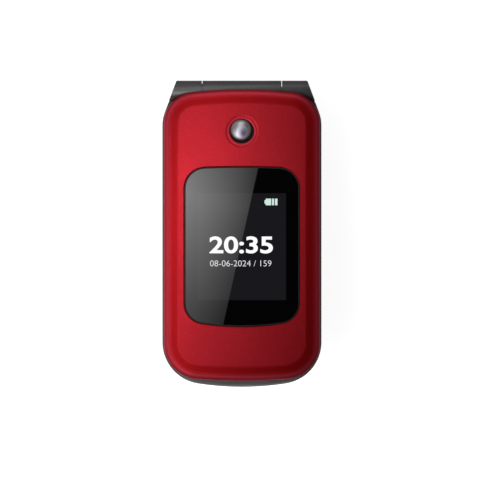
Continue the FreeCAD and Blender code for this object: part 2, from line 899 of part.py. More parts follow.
def base_flex():
    """Base end of the flexible circuit: roll in the bush, strip down the knuckle, plug on the board."""
    x0, x1 = base_strip_span()
    y = axis_y - roll_radius
    plug_top = board_top + plug_height
    plug_high = axis_y - board_end_distance - plug_set_back
    down = box(x0, x1, y, y + roll_skin, plug_top, axis_height)
    along = box(x0, x1, plug_high - plug_length, y + roll_skin, plug_top, plug_top + roll_skin)
    plug = box(x0, x1, plug_high - plug_length, plug_high, board_top, plug_top)
    return roll(x0, -barrel_half - barrel_side_gap).fuse(down).fuse(along).fuse(plug)


def lid_face(inset=0):
    """Outline of the lid, drawn in by a wall."""
    low = (lid_free, lid_free_corner, lid_free_bow)
    high = (lid_hinge, lid_hinge_corner, lid_hinge_bow)
    return bowed_face(lid_half, low, high, inset)


def tapered(lower, upper, z0, z1):
    """Solid between one face at a height and another face above it."""
    lower.translate(V(0, 0, z0))
    upper.translate(V(0, 0, z1))
    return Part.makeLoft([lower.OuterWire, upper.OuterWire], True, True)


def lid_shape():
    """Whole outer form of the lid: flat top, sloping band round it, round edge and eased lower edge."""
    band_foot = height - lid_band_drop
    crown = tapered(lid_face(), lid_face(lid_band), band_foot, height)
    solid = prism(lid_face(), lid_bottom, band_foot).fuse(crown)
    solid = solid.makeFillet(lid_edge, edges_at(solid, band_foot))
    return solid.makeFillet(lid_rim_edge, edges_at(solid, lid_bottom))


def lid_inside(gap=0):
    """Space inside the lid's walls, drawn in by a gap."""
    solid = prism(lid_face(lid_wall + gap), lid_inside_floor, lid_inside_top - gap)
    return solid.makeFillet(lid_edge - lid_wall - gap, edges_at(solid, lid_inside_top - gap))


def window_face(inset):
    """Outline of the outer window: straight sides and softly bowed ends."""
    return bowed_face(window_half, (window_low, window_low_corner, window_low_bow),
                      (window_high, window_high_corner, window_high_bow), inset)


def swing_room():
    """Room round the hinge line that the lid leaves for the knuckles."""
    return rod(swing_radius, -half - overrun, half + overrun)


def dome_foot():
    """Height of the step from which the camera's dome rises."""
    return height - dome_sink - dome_rise


def camera_dome(radius):
    """Part of the camera's dome within a radius, from its foot up."""
    bowl = (dome_radius ** 2 + dome_rise ** 2) / (2 * dome_rise)
    ball = Part.makeSphere(bowl, V(0, camera_y, dome_foot() + dome_rise - bowl))
    return post(0, camera_y, radius, dome_foot(), height).common(ball)


def lid_outer_cover():
    """Coloured top shell of the lid, open for the window and the camera, with four screw pillars."""
    shape = lid_shape()
    above = box(-half, half, -end, end, lid_seam, height)
    cover = shape.common(above).cut(lid_inside())
    pillars = [post(x, y, lid_boss, lid_seam, lid_inside_top + near) for x, y in lid_screw_places]
    for pillar in pillars:
        cover = cover.fuse(pillar.common(shape))
    for x, y in lid_screw_places:
        cover = cover.cut(post(x, y, screw_shank + seat_gap, lid_seam - overrun, lid_inside_top - seat_gap))
    cover = cover.cut(swing_room())
    cover = cover.cut(prism(window_face(0), lid_seam, height + overrun))
    cover = cover.cut(tapered(window_face(0), window_face(-window_bevel), height - window_bevel, height))
    camera_hole = ring_radius + window_gap
    dish = Part.makeCone(camera_hole, dish_radius, dish_depth, V(0, camera_y, height - dish_depth))
    lip = Part.makeTorus(camera_hole + lip_bead, lip_bead, V(0, camera_y, height - lip_bead))
    cover = cover.cut(dish).fuse(lip)
    return cover.cut(post(0, camera_y, camera_hole, lid_seam, height + overrun))


def outer_window():
    """Clear outer window with a step that seats under the cover's roof."""
    pane = prism(window_face(window_gap), lid_inside_top, height - window_sink)
    step = prism(window_face(-window_flange), lid_inside_top - window_flange_thickness, lid_inside_top)
    return pane.fuse(step)


def outer_display():
    """Small outer display on the lid board."""
    return plate(0, window_y, outer_display_width, outer_display_length, outer_display_corner,
                 lid_board_top, lid_board_top + outer_display_thickness)


def turned(points, x, y):
    """Solid turned about an upright line from its half section, given as radius and height."""
    section = [V(r, 0, z) for r, z in points]
    solid = Part.Face(Part.makePolygon(section + section[:1])).revolve(V(0, 0, 0), V(0, 0, 1), 360)
    solid.translate(V(x, y, 0))
    return Part.Solid(solid) if solid.ShapeType != "Solid" else solid


def camera_ring():
    """Trim ring of the camera: a low dome round the lens, with a flange under the roof."""
    bottom = lid_inside_top - ring_flange_thickness
    foot = dome_foot()
    ledge = foot - lens_drop
    hole = lens_radius + seat_gap
    sleeve = turned([
        (hole - ring_ledge, bottom), (ring_radius + ring_flange, bottom),
        (ring_radius + ring_flange, lid_inside_top), (ring_radius, lid_inside_top), (ring_radius, foot),
        (hole, foot), (hole, ledge), (hole - ring_ledge, ledge)], 0, camera_y)
    return sleeve.fuse(camera_dome(dome_radius).cut(post(0, camera_y, hole, ledge, height)))


def camera_lens():
    """Glass over the camera, rounded to the ring's dome."""
    seat = post(0, camera_y, lens_radius, dome_foot() - lens_drop, dome_foot())
    return seat.fuse(camera_dome(lens_radius))


def camera_module():
    """Camera on the lid board, with its barrel under the ring."""
    top = lid_board_top + camera_height
    body = block(0, camera_y, camera_width, camera_width, lid_board_top, top)
    return body.fuse(post(0, camera_y, camera_barrel, top, lid_inside_top - ring_flange_thickness))


def lid_inner_cover():
    """Inner half of the lid: floor with its openings, curved end wall and the centre hinge barrel."""
    shape = lid_shape()
    tray = shape.common(box(-half, half, -end, end, lid_bottom, lid_seam)).cut(lid_inside())
    for x, y in lid_screw_places:
        tray = tray.fuse(post(x, y, lid_boss, lid_inside_floor - near, lid_seam))
    end_wall = rod(shell_radius, -half, half).common(lid_inside(seat_gap))
    floor = shape.common(box(-half, half, -end, end, lid_bottom, lid_inside_floor))
    tray = tray.fuse(end_wall).fuse(floor)
    tray = tray.cut(swing_room())
    neck = box(-barrel_half, barrel_half, axis_y - neck_length, axis_y, lid_bottom, lid_bottom + neck_height)
    tray = tray.fuse(neck).fuse(rod(barrel_radius, -barrel_half, barrel_half))
    tray = tray.cut(rod(barrel_bore, barrel_web / 2, barrel_half + near))
    tray = tray.cut(rod(barrel_bore, -barrel_half - near, -barrel_web / 2))
    x0, x1 = lid_strip_span()
    strip_top = axis_height + roll_radius
    tray = tray.cut(box(x0 - strip_slot_gap, x1 + strip_slot_gap, axis_y - neck_length - overrun, axis_y,
                        strip_top - roll_skin - strip_slot_gap, strip_top + strip_slot_gap))
    tray = tray.cut(plate(0, main_display_y, 2 * inner_window_half, inner_window_length, inner_window_corner,
                          lid_bottom - overrun, lid_inside_floor))
    for x, y in lid_screw_places:
        seat = lid_inside_floor + slot_width
        tray = tray.cut(post(x, y, lid_screw_recess, lid_bottom - overrun, seat))
        tray = tray.cut(post(x, y, screw_shank + screw_recess_gap, lid_bottom, lid_seam + overrun))
    tray = tray.cut(plate(0, earpiece_y, mesh_width, mesh_length, mesh_length / 2 - near,
                          lid_bottom - overrun, lid_bottom + mesh_thickness))
    return tray.cut(plate(0, earpiece_y, mesh_width - 2 * mesh_ledge, mesh_length - 2 * mesh_ledge,
                          mesh_length / 2 - mesh_ledge - near, lid_bottom, lid_inside_floor + near))


def lid_strip_span():
    """Where the circuit's lid end leaves the roll."""
    x0 = bush_in_barrel - barrel_half + roll_gap
    return x0, x0 + lid_strip_width


def inner_window():
    """Clear window over the main display, with a step that seats on the inner cover's floor."""
    pane = plate(0, main_display_y, 2 * (inner_window_half - window_gap),
                 inner_window_length - 2 * window_gap, inner_window_corner - window_gap,
                 lid_bottom + window_sink, lid_inside_floor)
    step = plate(0, main_display_y, 2 * (inner_window_half + inner_window_flange),
                 inner_window_length + 2 * inner_window_flange, inner_window_corner + inner_window_flange,
                 lid_inside_floor, display_seat)
    return pane.fuse(step)


def main_display():
    """Main display behind the inner window."""
    return plate(0, main_display_y, main_display_width, main_display_length, main_display_corner,
                 display_seat, lid_board_bottom)


def lid_board():
    """Circuit board between the two displays, up to the camera."""
    high = axis_y - lid_board_high_distance
    low = lid_free + lid_board_low_distance
    return plate(0, (high + low) / 2, 2 * lid_board_half, high - low, lid_board_corner,
                 lid_board_bottom, lid_board_top)


def earpiece():
    """Earpiece behind its mesh."""
    return plate(0, earpiece_y, earpiece_width, earpiece_length, mesh_ledge,
                 lid_inside_floor, lid_inside_floor + earpiece_height)


def earpiece_mesh():
    """Slotted insert over the earpiece."""
    gap = seat_gap
    insert = plate(0, earpiece_y, mesh_width - 2 * gap, mesh_length - 2 * gap, mesh_length / 2 - gap - near,
                   lid_bottom + gap, lid_bottom + mesh_thickness)
    for n in range(mesh_slot_count):
        x = (n - (mesh_slot_count - 1) / 2) * mesh_slot_pitch
        insert = insert.cut(block(x, earpiece_y, mesh_slot_width, mesh_slot_length, lid_bottom, lid_seam))
    return insert


def lid_magnet():
    """Magnet that tells the base when the lid is closed."""
    return block(magnet_x, lid_free + magnet_distance, magnet_width, magnet_length,
                 lid_inside_floor, lid_inside_floor + magnet_height)


def lid_screws():
    """Four screws that hold the two covers of the lid together."""
    seat = lid_inside_floor + slot_width - screw_head_height
    return Part.makeCompound([screw(x, y, seat, lid_screw_length) for x, y in lid_screw_places])


def lid_bumpers():
    """Four rubber pads that cover the lid screws and soften the closing."""
    bottom = lid_bottom - bumper_rise
    pads = []
    for x, y in lid_screw_places:
        pad = post(x, y, bumper_radius, bottom, bottom + bumper_height)
        pads.append(pad.makeFillet(bumper_rise / 2, edges_at(pad, bottom)))
    return Part.makeCompound(pads)


def cartridge_span():
    """Ends of the hinge cartridge in the barrel."""
    return barrel_web / 2 + seat_gap, barrel_half - seat_gap


def cam_span():
    """Ends of the cam in the cartridge."""
    start = cartridge_span()[0] + cartridge_end + spring_gap + spring_length + spring_gap
    return start, start + cam_length


def hinge_cartridge():
    """Steel can of the hinge, closed at its inner end."""
    x0, x1 = cartridge_span()
    outer = barrel_bore - seat_gap
    return rod(outer, x0, x1).cut(rod(outer - can_skin, x0 + cartridge_end, x1 + overrun))


def hinge_spring():
    """Spring that pushes the cam, drawn as a plain sleeve of its outer size."""
    outer = barrel_bore - seat_gap - can_skin - spring_gap
    start = cartridge_span()[0] + cartridge_end + spring_gap
    sleeve = rod(outer, start, start + spring_length)
    return sleeve.cut(rod(outer - spring_wall, start - overrun, start + spring_length + overrun))


def hinge_cam():
    """Cam that turns with the can and rides on the shaft's head."""
    x0, x1 = cam_span()
    return rod(barrel_bore - seat_gap - can_skin - spring_gap, x0, x1)


def lid_flex():
    """Lid end of the flexible circuit: roll in the barrel, strip through the neck, plug under the board."""
    x0, x1 = lid_strip_span()
    top = axis_height + roll_radius
    plug_high = axis_y - lid_board_high_distance - plug_set_back
    strip = box(x0, x1, plug_high - plug_length, axis_y, top - roll_skin, top)
    plug = box(x0, x1, plug_high - plug_length, plug_high, top, lid_board_bottom)
    return roll(roll_gap - barrel_half, x1).fuse(strip).fuse(plug)


pieces = [
    battery_cover, rear_housing, front_housing, main_board, shield_cans, snap_domes, battery,
    battery_contacts, sim_holders, loudspeaker, vibration_motor, microphone, usb_socket, headphone_jack,
    housing_screws, hinge_shaft, hinge_bush, base_flex, lid_outer_cover, outer_window, outer_display,
    camera_ring, camera_lens, camera_module, lid_inner_cover, inner_window, main_display, lid_board,
    earpiece, earpiece_mesh, lid_magnet, lid_screws, lid_bumpers, hinge_cartridge, hinge_spring,
    hinge_cam, lid_flex]

os.makedirs("parts", exist_ok=True)
for piece in pieces:
    piece().exportStep("parts/" + piece.__name__ + ".step")
for key_name in key_names:
    key(key_name).exportStep("parts/" + key_name + ".step")
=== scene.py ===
import math

import bmesh
import bpy
from mathutils import Matrix, Vector


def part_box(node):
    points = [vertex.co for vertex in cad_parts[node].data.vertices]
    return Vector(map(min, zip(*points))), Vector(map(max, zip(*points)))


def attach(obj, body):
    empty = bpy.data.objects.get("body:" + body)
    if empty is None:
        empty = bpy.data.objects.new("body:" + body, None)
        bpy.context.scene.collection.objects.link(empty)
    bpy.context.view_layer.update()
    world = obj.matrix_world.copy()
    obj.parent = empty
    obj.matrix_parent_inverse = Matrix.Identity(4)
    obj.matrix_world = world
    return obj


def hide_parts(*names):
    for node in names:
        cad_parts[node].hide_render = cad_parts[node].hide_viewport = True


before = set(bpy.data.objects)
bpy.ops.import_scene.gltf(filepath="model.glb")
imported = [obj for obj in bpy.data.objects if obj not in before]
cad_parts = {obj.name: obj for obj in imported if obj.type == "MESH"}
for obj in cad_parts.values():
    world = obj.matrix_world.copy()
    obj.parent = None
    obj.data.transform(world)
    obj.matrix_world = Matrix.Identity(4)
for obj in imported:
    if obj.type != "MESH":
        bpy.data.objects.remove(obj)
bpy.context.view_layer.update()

# Rear housing
# Back half of the base: a deep tray of glass-filled plastic, dark grey, injection moulded with a fine
# spark-eroded grain. It carries the battery bay and takes four screws from behind.
body_dark = (0.050, 0.048, 0.049, 1)
body_light = (0.070, 0.066, 0.068, 1)
body_gloss = (0.20, 0.28)
body_grain_scale = 5200
body_grain_depth = 0.000012
flow_coarser = 90
plastic_sheen = 0.4


def new_finish(name):
    """A new material: its node tree, its shader and the piece's own coordinates."""
    material = bpy.data.materials.new(name)
    material.use_nodes = True
    tree = material.node_tree
    place = tree.nodes.new("ShaderNodeTexCoord").outputs["Object"]
    return material, tree, tree.nodes["Principled BSDF"], place


def noise(tree, place, scale, detail=3):
    """Cloudy noise from 0 to 1, at a scale per metre."""
    node = tree.nodes.new("ShaderNodeTexNoise")
    node.inputs["Scale"].default_value = scale
    node.inputs["Detail"].default_value = detail
    tree.links.new(place, node.inputs["Vector"])
    return node.outputs["Fac"]


def spread(tree, value, low, high, first=0.3, last=0.7):
    """Stretches a value from the range first to last onto the range low to high."""
    node = tree.nodes.new("ShaderNodeMapRange")
    node.inputs["From Min"].default_value = first
    node.inputs["From Max"].default_value = last
    node.inputs["To Min"].default_value = low
    node.inputs["To Max"].default_value = high
    tree.links.new(value, node.inputs["Value"])
    return node.outputs["Result"]


def tint(tree, value, dark, light):
    """Colour between two colours, each fixed or linked, by a value from 0 to 1."""
    node = tree.nodes.new("ShaderNodeMix")
    node.data_type = "RGBA"
    tree.links.new(value, node.inputs[0])
    # A colour mix takes its colours in sockets 6 and 7 and gives the result in output 2.
    for socket, colour in ((node.inputs[6], dark), (node.inputs[7], light)):
        if isinstance(colour, tuple):
            socket.default_value = colour
        else:
            tree.links.new(colour, socket)
    return node.outputs[2]


def emboss(tree, shader, height, depth):
    """Raises and sinks the surface by a height from 0 to 1 times a depth in metres."""
    node = tree.nodes.new("ShaderNodeBump")
    node.inputs["Distance"].default_value = depth
    tree.links.new(height, node.inputs["Height"])
    tree.links.new(node.outputs["Normal"], shader.inputs["Normal"])


def moulded_plastic(name, dark, light, gloss, grain_scale, grain_depth):
    """Plastic from a grained mould: faint flow marks in the colour, fine grain in the surface."""
    material, tree, shader, place = new_finish(name)
    flow = spread(tree, noise(tree, place, grain_scale / flow_coarser), 0, 1)
    grain = noise(tree, place, grain_scale, 2)
    tree.links.new(tint(tree, flow, dark, light), shader.inputs["Base Color"])
    tree.links.new(spread(tree, grain, *gloss), shader.inputs["Roughness"])
    emboss(tree, shader, grain, grain_depth)
    shader.inputs["Specular IOR Level"].default_value = plastic_sheen
    return material


def dress(material, *nodes):
    """Gives a finish to pieces that keep their shape."""
    for node in nodes:
        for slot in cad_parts[node].material_slots:
            slot.material = material


body_plastic = moulded_plastic("body_plastic", body_dark, body_light, body_gloss,
                               body_grain_scale, body_grain_depth)
dress(body_plastic, "rear_housing")

# Battery
# Flat lithium pack in a shrunk foil sleeve, silvery and slightly creased. It lies loose in its bay against
# three sprung blades, and the battery cover keeps it there.
foil_dark = (0.40, 0.41, 0.43, 1)
foil_light = (0.52, 0.53, 0.55, 1)
foil_gloss = (0.28, 0.42)
foil_metal = 0.85
crease_scale = 420
crease_depth = 0.00008


def coat(tree, shader, pattern, dark, light, gloss):
    """Colour and gloss that vary together with a pattern."""
    tree.links.new(tint(tree, spread(tree, pattern, 0, 1), dark, light), shader.inputs["Base Color"])
    tree.links.new(spread(tree, pattern, *gloss), shader.inputs["Roughness"])


battery_foil, tree, shader, place = new_finish("battery_foil")
creases = noise(tree, place, crease_scale, 4)
coat(tree, shader, creases, foil_dark, foil_light, foil_gloss)
emboss(tree, shader, creases, crease_depth)
shader.inputs["Metallic"].default_value = foil_metal
dress(battery_foil, "battery")

# Battery cover
# Grey tray that clips over the battery and slides off towards the free end. Same plastic as the housing,
# from a mould with a coarser grain, so that a thumb grips it beside the five moulded grooves.
cover_dark = (0.036, 0.034, 0.036, 1)
cover_light = (0.054, 0.051, 0.053, 1)
cover_gloss = (0.48, 0.60)
cover_grain_scale = 2600
cover_grain_depth = 0.000035
cover_plastic = moulded_plastic("cover_plastic", cover_dark, cover_light, cover_gloss,
                                cover_grain_scale, cover_grain_depth)
dress(cover_plastic, "battery_cover")

# Front housing
# Front half of the base with the keypad's face and both hinge knuckles, moulded in the same grained plastic.
# The four housing screws draw it onto the rear housing.
dress(body_plastic, "front_housing")

# Main board
# Six-layer circuit board in dark green solder mask, with copper tracks showing through as paler lines.
# It lies between the two housings, under the keys.
mask_dark = (0.004, 0.030, 0.016, 1)
mask_light = (0.010, 0.060, 0.030, 1)
mask_gloss = (0.25, 0.40)
mask_cloud_scale = 300
track_scale = 700
track_depth = 0.00002

green_board, tree, shader, place = new_finish("green_board")
tracks = tree.nodes.new("ShaderNodeTexBrick")
tracks.inputs["Color1"].default_value = mask_dark
tracks.inputs["Color2"].default_value = mask_dark
tracks.inputs["Mortar"].default_value = mask_light
tracks.inputs["Scale"].default_value = track_scale
tree.links.new(place, tracks.inputs["Vector"])
tree.links.new(tracks.outputs["Color"], shader.inputs["Base Color"])
tree.links.new(spread(tree, noise(tree, place, mask_cloud_scale), *mask_gloss), shader.inputs["Roughness"])
emboss(tree, shader, tracks.outputs["Fac"], track_depth)
dress(green_board, "main_board")

# Small metal parts in the base
# Folded tin-plate cans, card holders, the socket's shell and the microphone on the board, and the coin motor
# on the rear wall: thin steel sheet, rolled and plated, with faint rolling lines. The domes under the keys
# are springy stainless steel.
plate_dark = (0.42, 0.42, 0.43, 1)
plate_light = (0.60, 0.60, 0.61, 1)
plate_gloss = (0.24, 0.36)
plate_line_scale = 4000
line_stretch = 0.06
line_depth = 0.000003


def rolled_metal(name, dark, light, gloss, line_scale):
    """Sheet metal with fine lines along Y from the rolling mill."""
    material, tree, shader, place = new_finish(name)
    stretched = tree.nodes.new("ShaderNodeMapping")
    stretched.inputs["Scale"].default_value = (1, line_stretch, 1)
    tree.links.new(place, stretched.inputs["Vector"])
    lines = noise(tree, stretched.outputs["Vector"], line_scale, 4)
    coat(tree, shader, lines, dark, light, gloss)
    emboss(tree, shader, lines, line_depth)
    shader.inputs["Metallic"].default_value = 1
    return material


tin_plate = rolled_metal("tin_plate", plate_dark, plate_light, plate_gloss, plate_line_scale)
dress(tin_plate, "shield_cans", "sim_holders", "usb_socket", "vibration_motor", "microphone", "snap_domes")

# Battery contacts
# Three gold-plated spring blades in a moulded block, soldered to the under side of the board. They press
# on the battery's end.
gold_dark = (0.62, 0.40, 0.12, 1)
gold_light = (0.80, 0.56, 0.20, 1)
gold_gloss = (0.22, 0.34)
gold_line_scale = 5000
dress(rolled_metal("gold_blades", gold_dark, gold_light, gold_gloss, gold_line_scale), "battery_contacts")

# Loudspeaker and headphone jack
# Black moulded parts: the speaker's basket, glued to the rear wall behind its holes, and the body round the
# jack's bore, soldered to the board at the right side.
black_dark = (0.008, 0.008, 0.009, 1)
black_light = (0.016, 0.016, 0.017, 1)
black_gloss = (0.40, 0.52)
black_grain_scale = 3600
black_grain_depth = 0.00001
inner_black = moulded_plastic("inner_black", black_dark, black_light, black_gloss, black_grain_scale,
                              black_grain_depth)
dress(inner_black, "loudspeaker", "headphone_jack")

# Dust net
# Woven black net in each round hole of the loudspeaker's grille, glued between the speaker and the rear wall.
# One patch of crossed threads repeats on the grid of holes.
net_columns = 5
net_rows = 3
net_pitch = 0.002
net_radius = 0.00054
net_thread = 0.00005
net_threads = 5
net_level = 0.0011
speaker_low, speaker_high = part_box("loudspeaker")
net_x = (speaker_low.x + speaker_high.x) / 2
net_y = (speaker_low.y + speaker_high.y) / 2


def placed(name, data):
    """A new object in the scene."""
    thing = bpy.data.objects.new(name, data)
    bpy.context.scene.collection.objects.link(thing)
    return thing


def put_piece(name, mesh, material, body):
    """Adds a finished mesh to the object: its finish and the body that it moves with."""
    mesh.materials.clear()
    mesh.materials.append(material)
    piece = placed(name, mesh)
    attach(piece, body)
    return piece


def bar(shape, low, high):
    """Adds a box between two corners to a mesh in the making."""
    made = bmesh.ops.create_cube(shape, size=1)
    centre = (Vector(low) + Vector(high)) / 2
    size = Vector(high) - Vector(low)
    bmesh.ops.scale(shape, vec=size, verts=made["verts"])
    bmesh.ops.translate(shape, vec=centre, verts=made["verts"])


def mesh_of(name, shape):
    """Closes a mesh in the making."""
    bmesh.ops.recalc_face_normals(shape, faces=shape.faces)
    mesh = bpy.data.meshes.new(name)
    shape.to_mesh(mesh)
    shape.free()
    return mesh


def net_patch():
    """Threads both ways across one round hole, the second set over the first."""
    shape = bmesh.new()
    for n in range(net_threads):
        offset = (2 * (n + 0.5) / net_threads - 1) * net_radius
        left = offset - net_thread / 2
        right = offset + net_thread / 2
        reach = math.sqrt(net_radius ** 2 - offset ** 2)
        bar(shape, (left, -reach, 0), (right, reach, net_thread))
        bar(shape, (-reach, left, net_thread), (reach, right, 2 * net_thread))
    return mesh_of("net_patch", shape)


def repeat_tree(name, sizes):
    """Node tree with named inputs: a piece, a finish, and the sizes of a grid of places."""
    tree = bpy.data.node_groups.new(name, "GeometryNodeTree")
    inputs = {}
    for label, kind in (("Piece", "NodeSocketObject"), ("Finish", "NodeSocketMaterial")) + sizes:
        inputs[label] = tree.interface.new_socket(label, in_out="INPUT", socket_type=kind).identifier
    tree.interface.new_socket("Geometry", in_out="OUTPUT", socket_type="NodeSocketGeometry")
    return tree, inputs, tree.nodes.new("NodeGroupInput"), tree.nodes.new("NodeGroupOutput")


def finish_repeat(tree, given, out, places):
    """Ends a tree: the piece on each place, as real mesh in its finish."""
    source = tree.nodes.new("GeometryNodeObjectInfo")
    copies = tree.nodes.new("GeometryNodeInstanceOnPoints")
    real = tree.nodes.new("GeometryNodeRealizeInstances")
    paint = tree.nodes.new("GeometryNodeSetMaterial")
    tree.links.new(given.outputs["Piece"], source.inputs["Object"])
    tree.links.new(places, copies.inputs["Points"])
    tree.links.new(source.outputs["Geometry"], copies.inputs["Instance"])
    tree.links.new(copies.outputs["Instances"], real.inputs["Geometry"])
    tree.links.new(real.outputs["Geometry"], paint.inputs["Geometry"])
    tree.links.new(given.outputs["Finish"], paint.inputs["Material"])
    tree.links.new(paint.outputs["Geometry"], out.inputs["Geometry"])


def grid_tree():
    """Repeats a piece on a flat grid of columns and rows round a centre."""
    tree, inputs, given, out = repeat_tree("grid_of_pieces", (
        ("Columns", "NodeSocketInt"), ("Rows", "NodeSocketInt"), ("Width", "NodeSocketFloat"),
        ("Length", "NodeSocketFloat"), ("Centre", "NodeSocketVector")))
    grid = tree.nodes.new("GeometryNodeMeshGrid")
    moved = tree.nodes.new("GeometryNodeTransform")
    for label, socket in (("Width", "Size X"), ("Length", "Size Y"),
                          ("Columns", "Vertices X"), ("Rows", "Vertices Y")):
        tree.links.new(given.outputs[label], grid.inputs[socket])
    tree.links.new(grid.outputs["Mesh"], moved.inputs["Geometry"])
    tree.links.new(given.outputs["Centre"], moved.inputs["Translation"])
    finish_repeat(tree, given, out, moved.outputs["Geometry"])
    return tree, inputs


def grown_mesh(name, tree, inputs, values, pattern_mesh):
    """Runs a tree on one pattern piece and returns the plain mesh that it makes."""
    pattern = placed(name + "_pattern", pattern_mesh)
    holder = placed(name + "_holder", bpy.data.meshes.new(name + "_holder"))
    modifier = holder.modifiers.new("repeat", "NODES")
    modifier.node_group = tree
    modifier[inputs["Piece"]] = pattern
    for label, value in values.items():
        modifier[inputs[label]] = value
    seen = holder.evaluated_get(bpy.context.evaluated_depsgraph_get())
    mesh = bpy.data.meshes.new_from_object(seen)
    for used in (holder, pattern):
        bpy.data.objects.remove(used)
    return mesh


piece_grid, grid_inputs = grid_tree()
net_mesh = grown_mesh("dust_net", piece_grid, grid_inputs, {
    "Finish": inner_black, "Columns": net_columns, "Rows": net_rows, "Width": (net_columns - 1) * net_pitch,
    "Length": (net_rows - 1) * net_pitch, "Centre": (net_x, net_y, net_level)}, net_patch())
put_piece("dust_net", net_mesh, inner_black, "base")

# Screws
# Four steel screws under the battery cover and four under the lid's rubber pads. They are turned, slotted
# and blackened.
steel_dark = (0.060, 0.060, 0.064, 1)
steel_light = (0.130, 0.130, 0.136, 1)
steel_gloss = (0.30, 0.45)
steel_line_scale = 6000
dark_steel = rolled_metal("dark_steel", steel_dark, steel_light, steel_gloss, steel_line_scale)
dress(dark_steel, "housing_screws", "lid_screws")

# Number keys
# Twelve caps of satin black plastic, each on its own spring dome, held down by a flange under the front
# housing. Their digits are printed on top in white ink.
key_dark = (0.012, 0.012, 0.013, 1)
key_light = (0.020, 0.020, 0.021, 1)
key_gloss = (0.28, 0.38)
key_grain_scale = 3000
key_grain_depth = 0.000006
key_plastic = moulded_plastic("key_plastic", key_dark, key_light, key_gloss, key_grain_scale, key_grain_depth)
number_marks = {"key_1": "1", "key_2": "2", "key_3": "3", "key_4": "4", "key_5": "5", "key_6": "6",
                "key_7": "7", "key_8": "8", "key_9": "9", "key_star": "*", "key_0": "0", "key_hash": "#"}
mark_height = 0.0042
star_height = 0.0026
mark_weight = 0.012
ink_thickness = 0.00003
ink_gloss = (0.45, 0.60)
ink_mottle_scale = 2500
ink_thin_share = 0.85
white_ink_colour = (0.72, 0.72, 0.70, 1)
letter_depth = 0.1
letter_steps = 5
letter_weld_share = 0.02


def dimmed(colour, share):
    """A share of a colour."""
    return tuple(share * part for part in colour[:3]) + (1,)


def ink(name, colour):
    """Screen-printed ink: one colour, slightly mottled, with a dull sheen."""
    material, tree, shader, place = new_finish(name)
    mottle = noise(tree, place, ink_mottle_scale)
    coat(tree, shader, mottle, dimmed(colour, ink_thin_share), colour, ink_gloss)
    return material


def characters(name, text, height, thickness, weight, width=None):
    """Characters as a thin solid centred on the origin, of a height and perhaps a width."""
    curve = bpy.data.curves.new(name, "FONT")
    curve.body = text
    curve.extrude = letter_depth
    curve.offset = weight
    curve.resolution_u = letter_steps
    holder = placed(name, curve)
    mesh = bpy.data.meshes.new_from_object(holder.evaluated_get(bpy.context.evaluated_depsgraph_get()))
    bpy.data.objects.remove(holder)
    bpy.data.curves.remove(curve)
    low = Vector([min(point.co[axis] for point in mesh.vertices) for axis in range(3)])
    high = Vector([max(point.co[axis] for point in mesh.vertices) for axis in range(3)])
    tall = height / (high.y - low.y)
    wide = tall
    if width:
        wide = width / (high.x - low.x)
    mesh.transform(Matrix.Translation((-(low.x + high.x) / 2, -(low.y + high.y) / 2, -low.z)))
    mesh.transform(Matrix.Diagonal((wide, tall, thickness / (high.z - low.z), 1)))
    shape = bmesh.new()
    shape.from_mesh(mesh)
    bpy.data.meshes.remove(mesh)
    bmesh.ops.remove_doubles(shape, verts=shape.verts, dist=thickness * letter_weld_share)
    return mesh_of(name, shape)


def top_centre(node):
    """Middle of a node's upper side."""
    low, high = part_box(node)
    return Vector(((low.x + high.x) / 2, (low.y + high.y) / 2, high.z))


def print_on_key(key, mesh, material, place):
    """Puts a printed mark on a key, with which it moves."""
    mesh.transform(Matrix.Translation(place))
    put_piece(key + "_mark", mesh, material, key)


white_ink = ink("white_ink", white_ink_colour)
for key, mark in number_marks.items():
    height = star_height if mark == "*" else mark_height
    mark_mesh = characters(key + "_mark", mark, height, ink_thickness, mark_weight)
    print_on_key(key, mark_mesh, white_ink, top_centre(key))
dress(key_plastic, *number_marks)

# Call key and end key
# Caps of the same satin black plastic as the number keys, each on its own dome. A lifted handset is printed
# on one in green, and a resting one on the other in red.
handset_radius = 0.0026
handset_span = math.radians(140)
handset_thin_share = 0.70
handset_thick_share = 0.42
handset_swell_from = 0.62
handset_swell_rate = 3
handset_steps = 28
call_tilt = math.radians(225)
end_tilt = math.radians(90)
green_ink_colour = (0.06, 0.50, 0.12, 1)
red_ink_colour = (0.62, 0.03, 0.03, 1)


def printed_shape(name, outlines, thickness):
    """Thin solid that stands on the origin, from closed outlines."""
    shape = bmesh.new()
    for outline in outlines:
        under = [shape.verts.new((x, y, 0)) for x, y in outline]
        over = [shape.verts.new((x, y, thickness)) for x, y in outline]
        shape.faces.new(under)
        shape.faces.new(over)
        for n in range(len(outline)):
            shape.faces.new((under[n - 1], under[n], over[n], over[n - 1]))
    return mesh_of(name, shape)


def handset(tilt):
    """Outline of a handset: an arch that thickens towards its two ends, its back facing the tilt."""
    back = []
    inside = []
    for n in range(handset_steps + 1):
        along = 2 * n / handset_steps - 1
        angle = tilt + along * handset_span / 2
        swell = max(0, (abs(along) - handset_swell_from) / (1 - handset_swell_from))
        swell = min(1, handset_swell_rate * swell)
        depth = handset_thin_share + (handset_thick_share - handset_thin_share) * swell
        back.append((handset_radius * math.cos(angle), handset_radius * math.sin(angle)))
        inside.append((handset_radius * depth * math.cos(angle), handset_radius * depth * math.sin(angle)))
    outline = back + inside[::-1]
    middle_x = (min(x for x, y in outline) + max(x for x, y in outline)) / 2
    middle_y = (min(y for x, y in outline) + max(y for x, y in outline)) / 2
    return [(x - middle_x, y - middle_y) for x, y in outline]


for key, tilt, material in (("call_key", call_tilt, ink("green_ink", green_ink_colour)),
                            ("end_key", end_tilt, ink("red_ink", red_ink_colour))):
    print_on_key(key, printed_shape(key + "_mark", [handset(tilt)], ink_thickness), material, top_centre(key))
dress(key_plastic, "call_key", "end_key")

